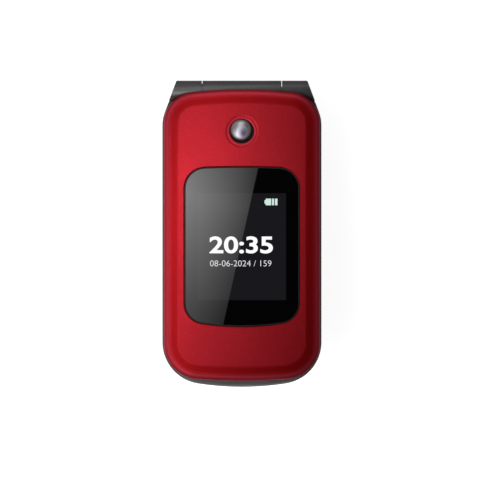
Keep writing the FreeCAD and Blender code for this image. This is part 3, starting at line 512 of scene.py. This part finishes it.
# Soft keys and direction keys
# Two caps under the display's corners, each marked with a short bar, and a ring of four direction keys,
# each marked with a small triangle that points outwards.
bar_length = 0.0042
bar_width = 0.0007
triangle_size = 0.0009
triangle_reach = 0.0079
soft_keys = ("soft_left_key", "soft_right_key")
direction_keys = ("nav_right_key", "nav_up_key", "nav_left_key", "nav_down_key")


def block(left, right, low, high):
    """Outline of an upright rectangle."""
    return [(left, low), (right, low), (right, high), (left, high)]


def round_points(radius, count, start=0):
    """Points evenly spaced on a circle round the origin."""
    turns = [start + math.tau * n / count for n in range(count)]
    return [(radius * math.cos(turn), radius * math.sin(turn)) for turn in turns]


soft_bar = block(-bar_length / 2, bar_length / 2, -bar_width / 2, bar_width / 2)
for key in soft_keys:
    print_on_key(key, printed_shape(key + "_mark", [soft_bar], ink_thickness), white_ink, top_centre(key))
pad_centre = top_centre("ok_key")
for turn, key in enumerate(direction_keys):
    angle = turn * math.pi / 2
    triangle = round_points(triangle_size, 3, angle)
    outwards = Vector((math.cos(angle), math.sin(angle), 0))
    print_on_key(key, printed_shape(key + "_mark", [triangle], ink_thickness), white_ink,
                 pad_centre + triangle_reach * outwards)
dress(key_plastic, *soft_keys, *direction_keys)

# Middle key
# Round cap in the centre of the direction keys, moulded in plastic and sprayed with a fine silver paint.
# It carries no mark.
silver_dark = (0.34, 0.34, 0.36, 1)
silver_light = (0.44, 0.44, 0.46, 1)
silver_gloss = (0.32, 0.42)
silver_metal = 0.7
pigment_scale = 8000
pigment_depth = 0.000002

key_silver, tree, shader, place = new_finish("key_silver")
pigment = noise(tree, place, pigment_scale)
coat(tree, shader, pigment, silver_dark, silver_light, silver_gloss)
emboss(tree, shader, spread(tree, pigment, 0, 1), pigment_depth)
shader.inputs["Metallic"].default_value = silver_metal
dress(key_silver, "ok_key")

# Hinge
# A steel shaft in the right knuckle turns in the lid's barrel, where a spring presses a cam that snaps the
# lid open and shut. On the left a hollow acetal bush carries the lid and lets the cable through.
dress(tin_plate, "hinge_shaft", "hinge_cartridge", "hinge_spring")
dress(dark_steel, "hinge_cam")
dress(inner_black, "hinge_bush")

# Flexible cable
# Amber film with copper tracks, in two halves that face each other on the hinge line inside the bush. One
# is plugged to the main board and the other to the lid's board.
film_dark = (0.20, 0.075, 0.010, 1)
film_light = (0.42, 0.19, 0.035, 1)
film_gloss = (0.22, 0.34)
film_cloud_scale = 400
film_track_scale = 500
film_track_depth = 0.00001

amber_film, tree, shader, place = new_finish("amber_film")
tracks = tree.nodes.new("ShaderNodeTexWave")
tracks.inputs["Scale"].default_value = film_track_scale
tree.links.new(place, tracks.inputs["Vector"])
tree.links.new(tint(tree, tracks.outputs["Fac"], film_dark, film_light), shader.inputs["Base Color"])
tree.links.new(spread(tree, noise(tree, place, film_cloud_scale), *film_gloss), shader.inputs["Roughness"])
emboss(tree, shader, tracks.outputs["Fac"], film_track_depth)
dress(amber_film, "base_flex", "lid_flex")

# Lid inner cover
# Dark lower shell of the lid, moulded in one with the middle barrel of the hinge, in the base's grained
# plastic. The lid's screws hold it to the outer cover.
dress(body_plastic, "lid_inner_cover")

# Board and parts inside the lid
# A slim board in the same green mask carries both displays and the camera. The black earpiece capsule sits
# behind its slot in the inner cover.
dress(green_board, "lid_board")
dress(inner_black, "camera_module", "earpiece")

# Closing magnet
# Small block of sintered magnet, plated bright, near the lid's free end. A sensor in the base feels it when
# the phone shuts.
dress(tin_plate, "lid_magnet")

# Earpiece mesh
# Long plate of satin metal in front of the earpiece, set in the inner cover. It is pierced by rows of fine
# holes that show black.
ear_columns = 21
ear_rows = 4
ear_hole = 0.00013
ear_hole_depth = 0.00002
ear_hole_sides = 12
ear_margin = 0.0004
trim_dark = (0.36, 0.36, 0.37, 1)
trim_light = (0.50, 0.50, 0.51, 1)
trim_gloss = (0.28, 0.40)
trim_line_scale = 3000
ear_low, ear_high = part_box("earpiece_mesh")
dress(rolled_metal("satin_trim", trim_dark, trim_light, trim_gloss, trim_line_scale), "earpiece_mesh")
ear_width = ear_high.x - ear_low.x - 2 * ear_margin - (ear_high.y - ear_low.y) / 2
ear_length = ear_high.y - ear_low.y - 2 * ear_margin
ear_centre = ((ear_low.x + ear_high.x) / 2, (ear_low.y + ear_high.y) / 2, ear_low.z - ear_hole_depth / 2)
ear_plug = printed_shape("ear_plug", [round_points(ear_hole, ear_hole_sides)], ear_hole_depth)
ear_mesh = grown_mesh("earpiece_holes", piece_grid, grid_inputs, {
    "Finish": inner_black, "Columns": ear_columns, "Rows": ear_rows, "Width": ear_width, "Length": ear_length,
    "Centre": ear_centre}, ear_plug)
put_piece("earpiece_holes", ear_mesh, inner_black, "lid")

# Rubber pads
# Four soft pads pressed into the inner cover over the lid's screws. They keep the shut halves apart.
# One domed pad repeats on the four corners.
pad_low, pad_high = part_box("lid_bumpers")
pad_radius = 0.0015
pad_edge = 0.00025
pad_sides = 40
pad_steps = 6
pad_dark = (0.012, 0.012, 0.012, 1)
pad_light = (0.022, 0.022, 0.022, 1)
pad_gloss = (0.70, 0.85)
pad_sharp = math.radians(50)
rubber_sheen = 0.1
dust_scale = 1800
dust_depth = 0.00001


def turned_solid(name, profile, sides):
    """Closed solid of revolution about Z from radius and height pairs whose ends lie on the axis."""
    shape = bmesh.new()
    rings = []
    for radius, height in profile:
        if radius == 0:
            rings.append([shape.verts.new((0, 0, height))])
            continue
        rings.append([shape.verts.new((x, y, height)) for x, y in round_points(radius, sides)])
    for one, next_one in zip(rings, rings[1:]):
        for n in range(sides):
            corners = [one[n % len(one)], one[(n + 1) % len(one)],
                       next_one[(n + 1) % len(next_one)], next_one[n % len(next_one)]]
            shape.faces.new(list(dict.fromkeys(corners)))
    mesh = mesh_of(name, shape)
    mesh.shade_smooth()
    mesh.set_sharp_from_angle(angle=pad_sharp)
    return mesh


def quarter_middles(node):
    """Middles of four alike pieces of a node, one in each quarter of its box."""
    low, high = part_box(node)
    middle = (low + high) / 2
    middles = []
    for right in (False, True):
        for upper in (False, True):
            places = [vertex.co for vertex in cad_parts[node].data.vertices
                      if (vertex.co.x > middle.x) == right and (vertex.co.y > middle.y) == upper]
            middles.append([(min(place[axis] for place in places) + max(place[axis] for place in places)) / 2
                            for axis in (0, 1)])
    return middles


def points_tree():
    """Repeats a piece on the points of another object."""
    tree, inputs, given, out = repeat_tree("pieces_on_points", (("Places", "NodeSocketObject"),))
    places = tree.nodes.new("GeometryNodeObjectInfo")
    tree.links.new(given.outputs["Places"], places.inputs["Object"])
    finish_repeat(tree, given, out, places.outputs["Geometry"])
    return tree, inputs


pad_height = pad_high.z - pad_low.z
pad_profile = [(0, pad_height), (pad_radius, pad_height)]
for n in range(pad_steps + 1):
    angle = math.pi / 2 * n / pad_steps
    pad_profile.append((pad_radius - pad_edge * (1 - math.cos(angle)), pad_edge * (1 - math.sin(angle))))
pad_profile.append((0, 0))
rubber, tree, shader, place = new_finish("soft_rubber")
dust = noise(tree, place, dust_scale)
coat(tree, shader, dust, pad_dark, pad_light, pad_gloss)
emboss(tree, shader, spread(tree, dust, 0, 1), dust_depth)
shader.inputs["Specular IOR Level"].default_value = rubber_sheen
pad_spots = bpy.data.meshes.new("pad_places")
pad_spots.from_pydata([(x, y, pad_low.z) for x, y in quarter_middles("lid_bumpers")], [], [])
pad_places = placed("pad_places", pad_spots)
piece_points, point_inputs = points_tree()
pad_mesh = grown_mesh("rubber_pads", piece_points, point_inputs, {"Finish": rubber, "Places": pad_places},
                      turned_solid("pad", pad_profile, pad_sides))
bpy.data.objects.remove(pad_places)
pads = put_piece("rubber_pads", pad_mesh, rubber, "lid")
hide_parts("lid_bumpers")

# Main display
# Liquid-crystal module behind the inner window: black glass in a thin steel tray, on the inner side of the
# lid's board.
glass_dark = (0.003, 0.003, 0.004, 1)
glass_light = (0.007, 0.007, 0.009, 1)
glass_gloss = (0.06, 0.12)
glass_cloud_scale = 120
black_glass, tree, shader, place = new_finish("black_glass")
coat(tree, shader, noise(tree, place, glass_cloud_scale), glass_dark, glass_light, glass_gloss)
dress(black_glass, "main_display")

# Inner window
# Clear acrylic pane over the main display, printed black behind its border and glued into the inner cover.
# The lit display shows through it: a plain picture of blue bands.
inner_lit_half = 0.0189
inner_lit_top = -0.0265
inner_lit_bottom = 0.0235
inner_lit_soft = 0.0001
band_deep = (0.006, 0.040, 0.130, 1)
band_pale = (0.050, 0.260, 0.400, 1)
band_scale = 26
band_bend = 3.0
band_detail_scale = 0.8
screen_off = (0, 0, 0, 1)
pane_black = (0.0006, 0.0005, 0.0006, 1)
pane_smear = (0.0014, 0.0012, 0.0014, 1)
pane_gloss = (0.015, 0.03)
pane_index = 1.5
smear_scale = 60


def combine(tree, operation, *values):
    """One arithmetic step on values that are each fixed or linked."""
    node = tree.nodes.new("ShaderNodeMath")
    node.operation = operation
    for socket, value in zip(node.inputs, values):
        if isinstance(value, (int, float)):
            socket.default_value = value
        else:
            tree.links.new(value, socket)
    return node.outputs["Value"]


def product(tree, one, other):
    """Two values multiplied."""
    return combine(tree, "MULTIPLY", one, other)


def coordinates(tree, place):
    """The X, Y and Z of a place."""
    node = tree.nodes.new("ShaderNodeSeparateXYZ")
    tree.links.new(place, node.inputs["Vector"])
    return node.outputs


def inside_span(tree, value, low, high, soft):
    """1 where a coordinate lies between two limits, 0 outside, with a soft edge."""
    up = spread(tree, value, 0, 1, low - soft, low + soft)
    down = spread(tree, value, 1, 0, high - soft, high + soft)
    return product(tree, up, down)


def inside_box(tree, place, left, right, low, high, soft):
    """1 within a rectangle seen along Z, 0 outside."""
    x, y = coordinates(tree, place)[:2]
    return product(tree, inside_span(tree, x, left, right, soft), inside_span(tree, y, low, high, soft))


def black_pane(name):
    """Glossy pane with black behind it: material, tree, shader and coordinates."""
    material, tree, shader, place = new_finish(name)
    smear = noise(tree, place, smear_scale)
    tree.links.new(tint(tree, smear, pane_black, pane_smear), shader.inputs["Base Color"])
    tree.links.new(spread(tree, smear, *pane_gloss), shader.inputs["Roughness"])
    shader.inputs["IOR"].default_value = pane_index
    shader.inputs["Emission Strength"].default_value = 1
    return material, tree, shader, place


inner_pane, tree, shader, place = black_pane("inner_pane")
bands = tree.nodes.new("ShaderNodeTexWave")
bands.inputs["Scale"].default_value = band_scale
bands.inputs["Distortion"].default_value = band_bend
bands.inputs["Detail Scale"].default_value = band_detail_scale
tree.links.new(place, bands.inputs["Vector"])
lit = inside_box(tree, place, -inner_lit_half, inner_lit_half, inner_lit_top, inner_lit_bottom,
                 inner_lit_soft)
picture = tint(tree, bands.outputs["Fac"], band_deep, band_pale)
tree.links.new(tint(tree, lit, screen_off, picture), shader.inputs["Emission Color"])
dress(inner_pane, "inner_window")

# Picture on the main display
# Clock, date, strength bars, charge sign and two soft-key bars, lit white. With the lid open the display's
# top lies towards the lid's free end, so each is laid out upright and turned over onto the pane.
inner_glow_thickness = 0.00002
inner_clock_text = "20:35"
inner_clock_height = 0.0068
inner_clock_up = 0.0130
inner_date_text = "08-06-2024"
inner_date_height = 0.0021
inner_date_up = 0.0072
sign_up = 0.0245
sign_side = 0.0162
sign_height = 0.0016
strength_bars = 4
strength_pitch = 0.0009
strength_width = 0.0006
charge_length = 0.0030
charge_rim = 0.00022
charge_nub = 0.0004
soft_mark_up = -0.0212
soft_mark_side = 0.0140
soft_mark_length = 0.0050
soft_mark_width = 0.0006
lit_white = (1.0, 1.0, 1.0, 1)
dot_scale = 3000
dot_dim_share = 0.96


def screen_light(name, colour):
    """Light of display dots, a little uneven, on black."""
    material, tree, shader, place = new_finish(name)
    dots = spread(tree, noise(tree, place, dot_scale), 0, 1)
    tree.links.new(tint(tree, dots, dimmed(colour, dot_dim_share), colour), shader.inputs["Emission Color"])
    tree.links.new(tint(tree, dots, glass_dark, glass_light), shader.inputs["Base Color"])
    shader.inputs["Emission Strength"].default_value = 1
    return material


def charge_sign(x, y, length, height, rim, nub):
    """Outlines of a battery sign round a place: a nub on the left, a full half and two thinner cells."""
    left = x - length / 2
    right = x + length / 2
    low = y - height / 2
    high = y + height / 2
    return [block(left - nub, left, y - height / 4, y + height / 4),
            block(left, x - rim / 2, low, high),
            block(x + rim / 2, x + length / 4 - rim / 2, low, high),
            block(x + length / 4 + rim / 2, right, low, high)]


screen_white = screen_light("screen_white", lit_white)
inner_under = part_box("inner_window")[0].z
onto_inner_pane = Matrix.Translation((0, 0, inner_under)) @ Matrix.Rotation(math.pi, 4, "X")


def show_inside(name, mesh, x, up):
    """Puts a lit sign on the inner pane, upright for someone who looks at the open lid."""
    mesh.transform(onto_inner_pane @ Matrix.Translation((x, up, 0)))
    put_piece(name, mesh, screen_white, "lid")


clock = characters("inner_clock", inner_clock_text, inner_clock_height, inner_glow_thickness, mark_weight)
show_inside("inner_clock", clock, 0, inner_clock_up)
date = characters("inner_date", inner_date_text, inner_date_height, inner_glow_thickness, 0)
show_inside("inner_date", date, 0, inner_date_up)
signs = charge_sign(sign_side, sign_up, charge_length, sign_height, charge_rim, charge_nub)
for n in range(strength_bars):
    left = -sign_side - charge_length / 2 + n * strength_pitch
    top = sign_up - sign_height / 2 + sign_height * (n + 1) / strength_bars
    signs.append(block(left, left + strength_width, sign_up - sign_height / 2, top))
for side in (-soft_mark_side, soft_mark_side):
    signs.append(block(side - soft_mark_length / 2, side + soft_mark_length / 2,
                       soft_mark_up - soft_mark_width / 2, soft_mark_up + soft_mark_width / 2))
show_inside("inner_signs", printed_shape("inner_signs", signs, inner_glow_thickness), 0, 0)

# Lid outer cover
# Red top shell of the lid, moulded and sprayed with a satin lacquer that holds fine metal flake. Its colour
# carries painted shade, a darker red down the sloping band round the top, and painted highlights, a paler
# pink over the outer rim and on the lip round the camera. Its four pillars take the lid screws, and the
# window and the camera ring are glued in from inside.
lacquer_deep = (0.33, 0.005, 0.010, 1)
lacquer_full = (0.38, 0.007, 0.014, 1)
lacquer_flake = (0.46, 0.022, 0.036, 1)
# Painted shade: a darker red laid down the sloping band round the lid's top.
painted_shade_red = (0.295, 0.001, 0.003, 1)
# Painted highlight: a paler pink laid over the outer rim, and at a share on the lip round the camera.
painted_highlight_pink = (0.50, 0.035, 0.060, 1)
lacquer_edge = (1.0, 0.80, 0.86, 1)
lacquer_gloss = (0.46, 0.54)
lacquer_metal = 0.6
lacquer_sheen = 0.22
lacquer_cloud_scale = 60
flake_scale = 9000
flake_from = 0.55
flake_to = 0.95
peel_scale = 1500
peel_depth = 0.000004
shade_start = 0.000005
shade_full = 0.00011
shade_end = 0.00030
highlight_start = 0.00042
highlight_full = 0.00062
highlight_end = 0.00140
dish_reach = 0.0060
dish_ease = 0.0005
lip_inner = 0.0039
lip_outer = 0.0049
lip_ease = 0.0003
lip_highlight_share = 0.6
camera_low, camera_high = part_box("camera_ring")
camera_place = (camera_low + camera_high) / 2
cover_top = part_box("lid_outer_cover")[1].z


def distance_from(tree, place, middle):
    """How far a place lies from an upright line through a point."""
    moved = tree.nodes.new("ShaderNodeVectorMath")
    moved.operation = "MULTIPLY_ADD"
    moved.inputs[1].default_value = (1, 1, 0)
    moved.inputs[2].default_value = (-middle.x, -middle.y, 0)
    tree.links.new(place, moved.inputs[0])
    reach = tree.nodes.new("ShaderNodeVectorMath")
    reach.operation = "LENGTH"
    tree.links.new(moved.outputs["Vector"], reach.inputs[0])
    return reach.outputs["Value"]


red_lacquer, tree, shader, place = new_finish("red_lacquer")
clouds = spread(tree, noise(tree, place, lacquer_cloud_scale), 0, 1)
cells = tree.nodes.new("ShaderNodeTexVoronoi")
cells.inputs["Scale"].default_value = flake_scale
tree.links.new(place, cells.inputs["Vector"])
flakes = spread(tree, cells.outputs["Color"], 0, 1, flake_from, flake_to)
level = coordinates(tree, place)["Z"]
# Painted shade mask: the band a little below the top's level.
painted_shade_mask = product(tree, spread(tree, level, 1, 0, cover_top - shade_full, cover_top - shade_start),
               spread(tree, level, 0, 1, cover_top - highlight_start, cover_top - shade_end))
# Painted highlight mask: the outer rim, further below the top's level.
rim = product(tree, spread(tree, level, 1, 0, cover_top - highlight_full, cover_top - highlight_start),
              spread(tree, level, 0, 1, cover_top - highlight_end, cover_top - highlight_full))
reach = distance_from(tree, place, camera_place)
painted_shade_mask = product(tree, painted_shade_mask, spread(tree, reach, 0, 1, dish_reach, dish_reach + dish_ease))
# Painted highlight mask on the lip round the camera, at a share of the rim's pink.
lip_highlight_mask = product(tree, spread(tree, reach, 0, lip_highlight_share, lip_inner, lip_inner + lip_ease),
              spread(tree, reach, 1, 0, lip_outer - lip_ease, lip_outer))
colour = tint(tree, flakes, tint(tree, clouds, lacquer_deep, lacquer_full), lacquer_flake)
# Lays the painted shade and both painted highlights over the lacquer's own colour.
for share, other in ((painted_shade_mask, painted_shade_red), (rim, painted_highlight_pink), (lip_highlight_mask, painted_highlight_pink)):
    colour = tint(tree, share, colour, other)
tree.links.new(colour, shader.inputs["Base Color"])
peel = noise(tree, place, peel_scale)
tree.links.new(spread(tree, peel, *lacquer_gloss), shader.inputs["Roughness"])
emboss(tree, shader, peel, peel_depth)
shader.inputs["Metallic"].default_value = lacquer_metal
shader.inputs["Specular IOR Level"].default_value = lacquer_sheen
shader.inputs["Specular Tint"].default_value = lacquer_edge
dress(red_lacquer, "lid_outer_cover")

# Outer window
# Clear acrylic pane, printed black behind its border and glued under the lid's opening. The small display
# lights up through its middle.
outer_lit_left = -0.01480
outer_lit_right = 0.01465
outer_lit_low = -0.02200
outer_lit_high = 0.01350
outer_lit_soft = 0.00012
outer_lit_glow = (0.0085, 0.0080, 0.0100, 1)

outer_pane, tree, shader, place = black_pane("outer_pane")
lit = inside_box(tree, place, outer_lit_left, outer_lit_right, outer_lit_low, outer_lit_high, outer_lit_soft)
tree.links.new(tint(tree, lit, screen_off, outer_lit_glow), shader.inputs["Emission Color"])
dress(outer_pane, "outer_window")

# Painted shade round the outer window
# Thin black ring over the gap round the outer window: painted shade where the gap shows dark. It laps over
# the pane's edge.
gap_shade_lap = 0.00026
gap_shade_reach = 0.00013
gap_shade_thickness = 0.00004
same_place = 0.000001


def upper_rim(node):
    """Points round a node's flat upper side in order, each with its outward direction."""
    points = {}
    low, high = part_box(node)
    middle = (low + high) / 2
    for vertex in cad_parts[node].data.vertices:
        if high.z - vertex.co.z < same_place:
            angle = math.atan2(vertex.co.y - middle.y, vertex.co.x - middle.x)
            points[round(angle, 5)] = Vector((vertex.co.x, vertex.co.y, high.z))
    ordered = [points[angle] for angle in sorted(points)]
    rim = []
    for n, point in enumerate(ordered):
        along = ordered[(n + 1) % len(ordered)] - ordered[n - 1]
        rim.append((point, Vector((along.y, -along.x, 0)).normalized()))
    return rim


def gap_shade_ring(name, rim):
    """Flat ring that follows a rim, from its lap on the pane to its reach into the gap."""
    shape = bmesh.new()
    up = Vector((0, 0, gap_shade_thickness))
    hoops = []
    for point, outward in rim:
        inner = point - gap_shade_lap * outward
        outer = point + gap_shade_reach * outward
        hoops.append([shape.verts.new(place) for place in (inner, outer, outer + up, inner + up)])
    for n, hoop in enumerate(hoops):
        for side in range(4):
            shape.faces.new((hoops[n - 1][side - 1], hoop[side - 1], hoop[side], hoops[n - 1][side]))
    return mesh_of(name, shape)


# The ring of painted shade takes the black finish of the rubber pads.
put_piece("window_seal", gap_shade_ring("window_seal", upper_rim("outer_window")), rubber, "lid")

# Outer display
# Small display module under the outer window, with black glass like the main one's. It sits on the upper
# side of the lid's board.
dress(black_glass, "outer_display")

# Picture on the outer display
# Clock, date and charge sign in lit dots on black, seen through the outer window. The clock is white, the
# date pale grey and the charge sign pale green.
outer_glow_thickness = 0.00003
outer_clock_text = "20:35"
outer_clock_left = -0.0108
outer_clock_right = 0.0103
outer_clock_low = -0.00652
outer_clock_height = 0.0057
outer_clock_weight = 0.022
outer_date_text = "08-06-2024 / 159"
outer_date_left = -0.0106
outer_date_right = 0.0098
outer_date_low = -0.01080
outer_date_height = 0.0020
outer_date_weight = -0.007
outer_charge_x = 0.00985
outer_charge_y = 0.0106
outer_charge_length = 0.0039
outer_charge_height = 0.0022
outer_charge_rim = 0.00028
outer_charge_nub = 0.0004
date_grey = (0.72, 0.71, 0.74, 1)
charge_mint = (0.60, 0.80, 0.70, 1)
outer_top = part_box("outer_window")[1].z


def show_outside(name, mesh, material, x, y):
    """Puts a lit sign on the outer pane."""
    mesh.transform(Matrix.Translation((x, y, outer_top)))
    put_piece(name, mesh, material, "lid")


def line_outside(name, text, material, left, right, low, height, weight):
    """Puts a lit line of characters on the outer pane, drawn out between two sides."""
    mesh = characters(name, text, height, outer_glow_thickness, weight, right - left)
    show_outside(name, mesh, material, (left + right) / 2, low + height / 2)


line_outside("outer_clock", outer_clock_text, screen_white, outer_clock_left, outer_clock_right,
             outer_clock_low, outer_clock_height, outer_clock_weight)
line_outside("outer_date", outer_date_text, screen_light("screen_grey", date_grey), outer_date_left,
             outer_date_right, outer_date_low, outer_date_height, outer_date_weight)
outer_signs = charge_sign(outer_charge_x, outer_charge_y, outer_charge_length, outer_charge_height,
                          outer_charge_rim, outer_charge_nub)
show_outside("outer_charge", printed_shape("outer_charge", outer_signs, outer_glow_thickness),
             screen_light("screen_mint", charge_mint), 0, 0)

# Phone camera
# A small camera looks out near the hinge: a turned dome in the lid's lip, satin plated, with painted shade
# that turns it black round its foot, widest at the lower right. In its middle is a glass lens, coated violet
# over a darker pupil that sits off centre towards the lower right, which adds painted shade there.
dome_dark = (0.34, 0.31, 0.32, 1)
dome_light = (0.45, 0.40, 0.41, 1)
dome_gloss = 0.36
dome_line_scale = 6000
dome_line_depth = 0.000001
# Painted shade: the dome turns black beyond a circle round this point, shifted up and left, so the black is
# widest at the lower right.
foot_shade_middle = camera_place + Vector((-0.00035, 0.00050, 0))
foot_shade_black = (0.004, 0.002, 0.003, 1)
foot_shade_gloss = 0.80
dome_sheen = 0.2
foot_shade_from = 0.0025
foot_shade_to = 0.0035
lens_dark = (0.32, 0.33, 0.41, 1)
lens_light = (0.43, 0.44, 0.52, 1)
lens_gloss = (0.30, 0.38)
lens_mirror = 0.5
lens_cloud_scale = 500
pupil_and_shade_violet = (0.14, 0.08, 0.15, 1)
# The pupil's middle is shifted down and right, so the pupil's dark violet also serves as painted shade on the
# lens's lower right.
shifted_pupil_middle = camera_place + Vector((0.00030, -0.00060, 0))
pupil_inner = 0.0004
pupil_outer = 0.0019

domed_trim, tree, shader, place = new_finish("domed_trim")
# Painted shade mask: black, dull and unplated towards the dome's foot.
foot_shade_mask = spread(tree, distance_from(tree, place, foot_shade_middle), 0, 1, foot_shade_from, foot_shade_to)
lines = spread(tree, noise(tree, place, dome_line_scale), 0, 1)
plating = tint(tree, lines, dome_dark, dome_light)
tree.links.new(tint(tree, foot_shade_mask, plating, foot_shade_black), shader.inputs["Base Color"])
tree.links.new(spread(tree, foot_shade_mask, 1, 0, 0, 1), shader.inputs["Metallic"])
tree.links.new(spread(tree, foot_shade_mask, dome_gloss, foot_shade_gloss, 0, 1), shader.inputs["Roughness"])
shader.inputs["Specular IOR Level"].default_value = dome_sheen
emboss(tree, shader, lines, dome_line_depth)
dress(domed_trim, "camera_ring")

coated_lens, tree, shader, place = new_finish("coated_lens")
clouds = spread(tree, noise(tree, place, lens_cloud_scale), 0, 1)
# The lens's dark pupil: partly the lens's own dark middle, and through its shift partly painted shade.
pupil_and_shade_mask = spread(tree, distance_from(tree, place, shifted_pupil_middle), 1, 0, pupil_inner, pupil_outer)
glass = tint(tree, clouds, lens_dark, lens_light)
tree.links.new(tint(tree, pupil_and_shade_mask, glass, pupil_and_shade_violet), shader.inputs["Base Color"])
tree.links.new(spread(tree, clouds, *lens_gloss, 0, 1), shader.inputs["Roughness"])
shader.inputs["Metallic"].default_value = lens_mirror
dress(coated_lens, "camera_lens")

# Stage
# A pale floor that keeps the object's shadow. Glossy pieces see it bright along the phone's sides, most on
# the left, and dim past both ends.
floor_reach = 3.0
floor_drop = 0.0001
floor_white = 0.35
floor_seen_glow = 0.925
floor_left_glow = 0.9
floor_right_glow = 0.35
floor_fade = 0.06
floor_end_share = 0.15
floor_end_from = 0.044
floor_end_to = 0.058


def flat_sheet(name, corners, material):
    """One flat four-cornered sheet for the stage."""
    mesh = bpy.data.meshes.new(name)
    mesh.from_pydata(corners, [], [tuple(range(len(corners)))])
    mesh.materials.append(material)
    sheet = placed(name, mesh)
    return sheet


floor_paint, tree, shader, place = new_finish("floor_paint")
shader.inputs["Base Color"].default_value = (floor_white, floor_white, floor_white, 1)
shader.inputs["Roughness"].default_value = 1
shader.inputs["Specular IOR Level"].default_value = 0
shader.inputs["Emission Color"].default_value = (1, 1, 1, 1)
x, y = coordinates(tree, place)[:2]
sides = spread(tree, x, floor_left_glow, floor_right_glow, -floor_fade, floor_fade)
ends = spread(tree, combine(tree, "ABSOLUTE", y), 1, floor_end_share, floor_end_from, floor_end_to)
path = tree.nodes.new("ShaderNodeLightPath").outputs
seen = product(tree, path["Is Glossy Ray"], product(tree, sides, ends))
for ray in ("Is Camera Ray", "Is Transmission Ray"):
    seen = combine(tree, "MULTIPLY_ADD", path[ray], floor_seen_glow, seen)
tree.links.new(seen, shader.inputs["Emission Strength"])
floor_outline = block(-floor_reach, floor_reach, -floor_reach, floor_reach)
flat_sheet("floor", [(x, y, -floor_drop) for x, y in floor_outline], floor_paint)

# Light card
# A long soft box above and to the left. Its straight edge shows as the slanting line in the window, and it
# fades towards that edge and towards the phone's free end.
card_height = 0.08
card_edge_x = 0.00050
card_turn = math.radians(-12.56)
card_width = 0.042
card_low_end = -0.14
card_high_end = 0.200
card_edge_glow = 1.15
card_far_glow = 9.6
card_fade_low = -0.030
card_fade_high = 0.010
card_low_share = 0.42
card_top_from = 0.008
card_top_to = 0.040
card_top_share = 0.30


def glowing_finish(name):
    """A material that only glows: its node tree and the strength of its glow."""
    material = bpy.data.materials.new(name)
    material.use_nodes = True
    tree = material.node_tree
    tree.nodes.remove(tree.nodes["Principled BSDF"])
    glow = tree.nodes.new("ShaderNodeEmission")
    tree.links.new(glow.outputs["Emission"], tree.nodes["Material Output"].inputs["Surface"])
    return material, tree, glow.inputs["Strength"]


card_light, tree, strength = glowing_finish("card_light")
turn_back = tree.nodes.new("ShaderNodeMapping")
turn_back.inputs["Rotation"].default_value = (0, 0, -card_turn)
tree.links.new(tree.nodes.new("ShaderNodeTexCoord").outputs["Object"], turn_back.inputs["Vector"])
x, y = coordinates(tree, turn_back.outputs["Vector"])[:2]
card_far_x = card_edge_x - card_width
across = spread(tree, x, card_far_glow, card_edge_glow, card_far_x, card_edge_x)
along = spread(tree, y, card_low_share, 1, card_fade_low, card_fade_high)
top = spread(tree, y, 1, card_top_share, card_top_from, card_top_to)
tree.links.new(product(tree, product(tree, across, along), top), strength)
turned = Matrix.Rotation(card_turn, 4, "Z")
card = flat_sheet("light_card", [turned @ Vector((x, y, card_height)) for x, y in (
    (card_far_x, card_low_end), (card_far_x, card_high_end),
    (card_edge_x, card_high_end), (card_edge_x, card_low_end))], card_light)
card.visible_camera = False

# Strip lamp
# A short lamp close in front of the free end that shines downwards only. It lifts the narrow edge of the base
# that shows past the lid.
lamp_half = 0.030
lamp_near = -0.053
lamp_far = -0.060
lamp_height = 0.0135
lamp_glow = 7.0

lamp_light, tree, strength = glowing_finish("lamp_light")
under_side = tree.nodes.new("ShaderNodeNewGeometry").outputs["Backfacing"]
tree.links.new(spread(tree, under_side, 0, lamp_glow, 0, 1), strength)
lamp_outline = block(-lamp_half, lamp_half, lamp_far, lamp_near)
lamp = flat_sheet("strip_lamp", [(x, y, lamp_height) for x, y in lamp_outline], lamp_light)
lamp.visible_camera = False
lamp.visible_glossy = False
lamp.visible_shadow = False

# Surround
# White for the camera. As light it is a room with a dim ceiling and walls that are brighter on the card's
# side.
near_side_glow = 1.05
far_side_glow = 0.3
ceiling_glow = 0.01
side_turn = math.radians(-15)
side_from = -0.7
side_to = 0.3
ceiling_from = 0.1
ceiling_to = 0.8
world = bpy.data.worlds.new("surround")
bpy.context.scene.world = world
world.use_nodes = True
tree = world.node_tree
sky = tree.nodes["Background"]
sky.inputs["Color"].default_value = (1, 1, 1, 1)
directions = tree.nodes.new("ShaderNodeTexCoord").outputs["Generated"]
away = tree.nodes.new("ShaderNodeVectorMath")
away.operation = "DOT_PRODUCT"
away.inputs[1].default_value = (math.cos(side_turn), math.sin(side_turn), 0)
tree.links.new(directions, away.inputs[0])
sides = spread(tree, away.outputs["Value"], near_side_glow, far_side_glow, side_from, side_to)
ceiling = spread(tree, coordinates(tree, directions)["Z"], 1, 0, ceiling_from, ceiling_to)
room = combine(tree, "MULTIPLY_ADD", sides, ceiling, ceiling_glow)
seen = tree.nodes.new("ShaderNodeLightPath").outputs["Is Camera Ray"]
tree.links.new(combine(tree, "MAXIMUM", room, seen), sky.inputs["Strength"])

# View
# The camera looks straight down on the shut phone, as in a catalogue picture. It stands well back, so that
# the sides don't lean.
camera_x = -0.00064
camera_y = -0.00204
camera_back = 3.0
focus_height = 0.008
picture_width = 0.1600
camera_data = bpy.data.cameras.new("camera")
camera_data.lens = camera_data.sensor_width * camera_back / picture_width
camera = placed("camera", camera_data)
camera.location = (camera_x, camera_y, focus_height + camera_back)
bpy.context.scene.camera = camera
bpy.context.scene.view_settings.view_transform = "Standard"
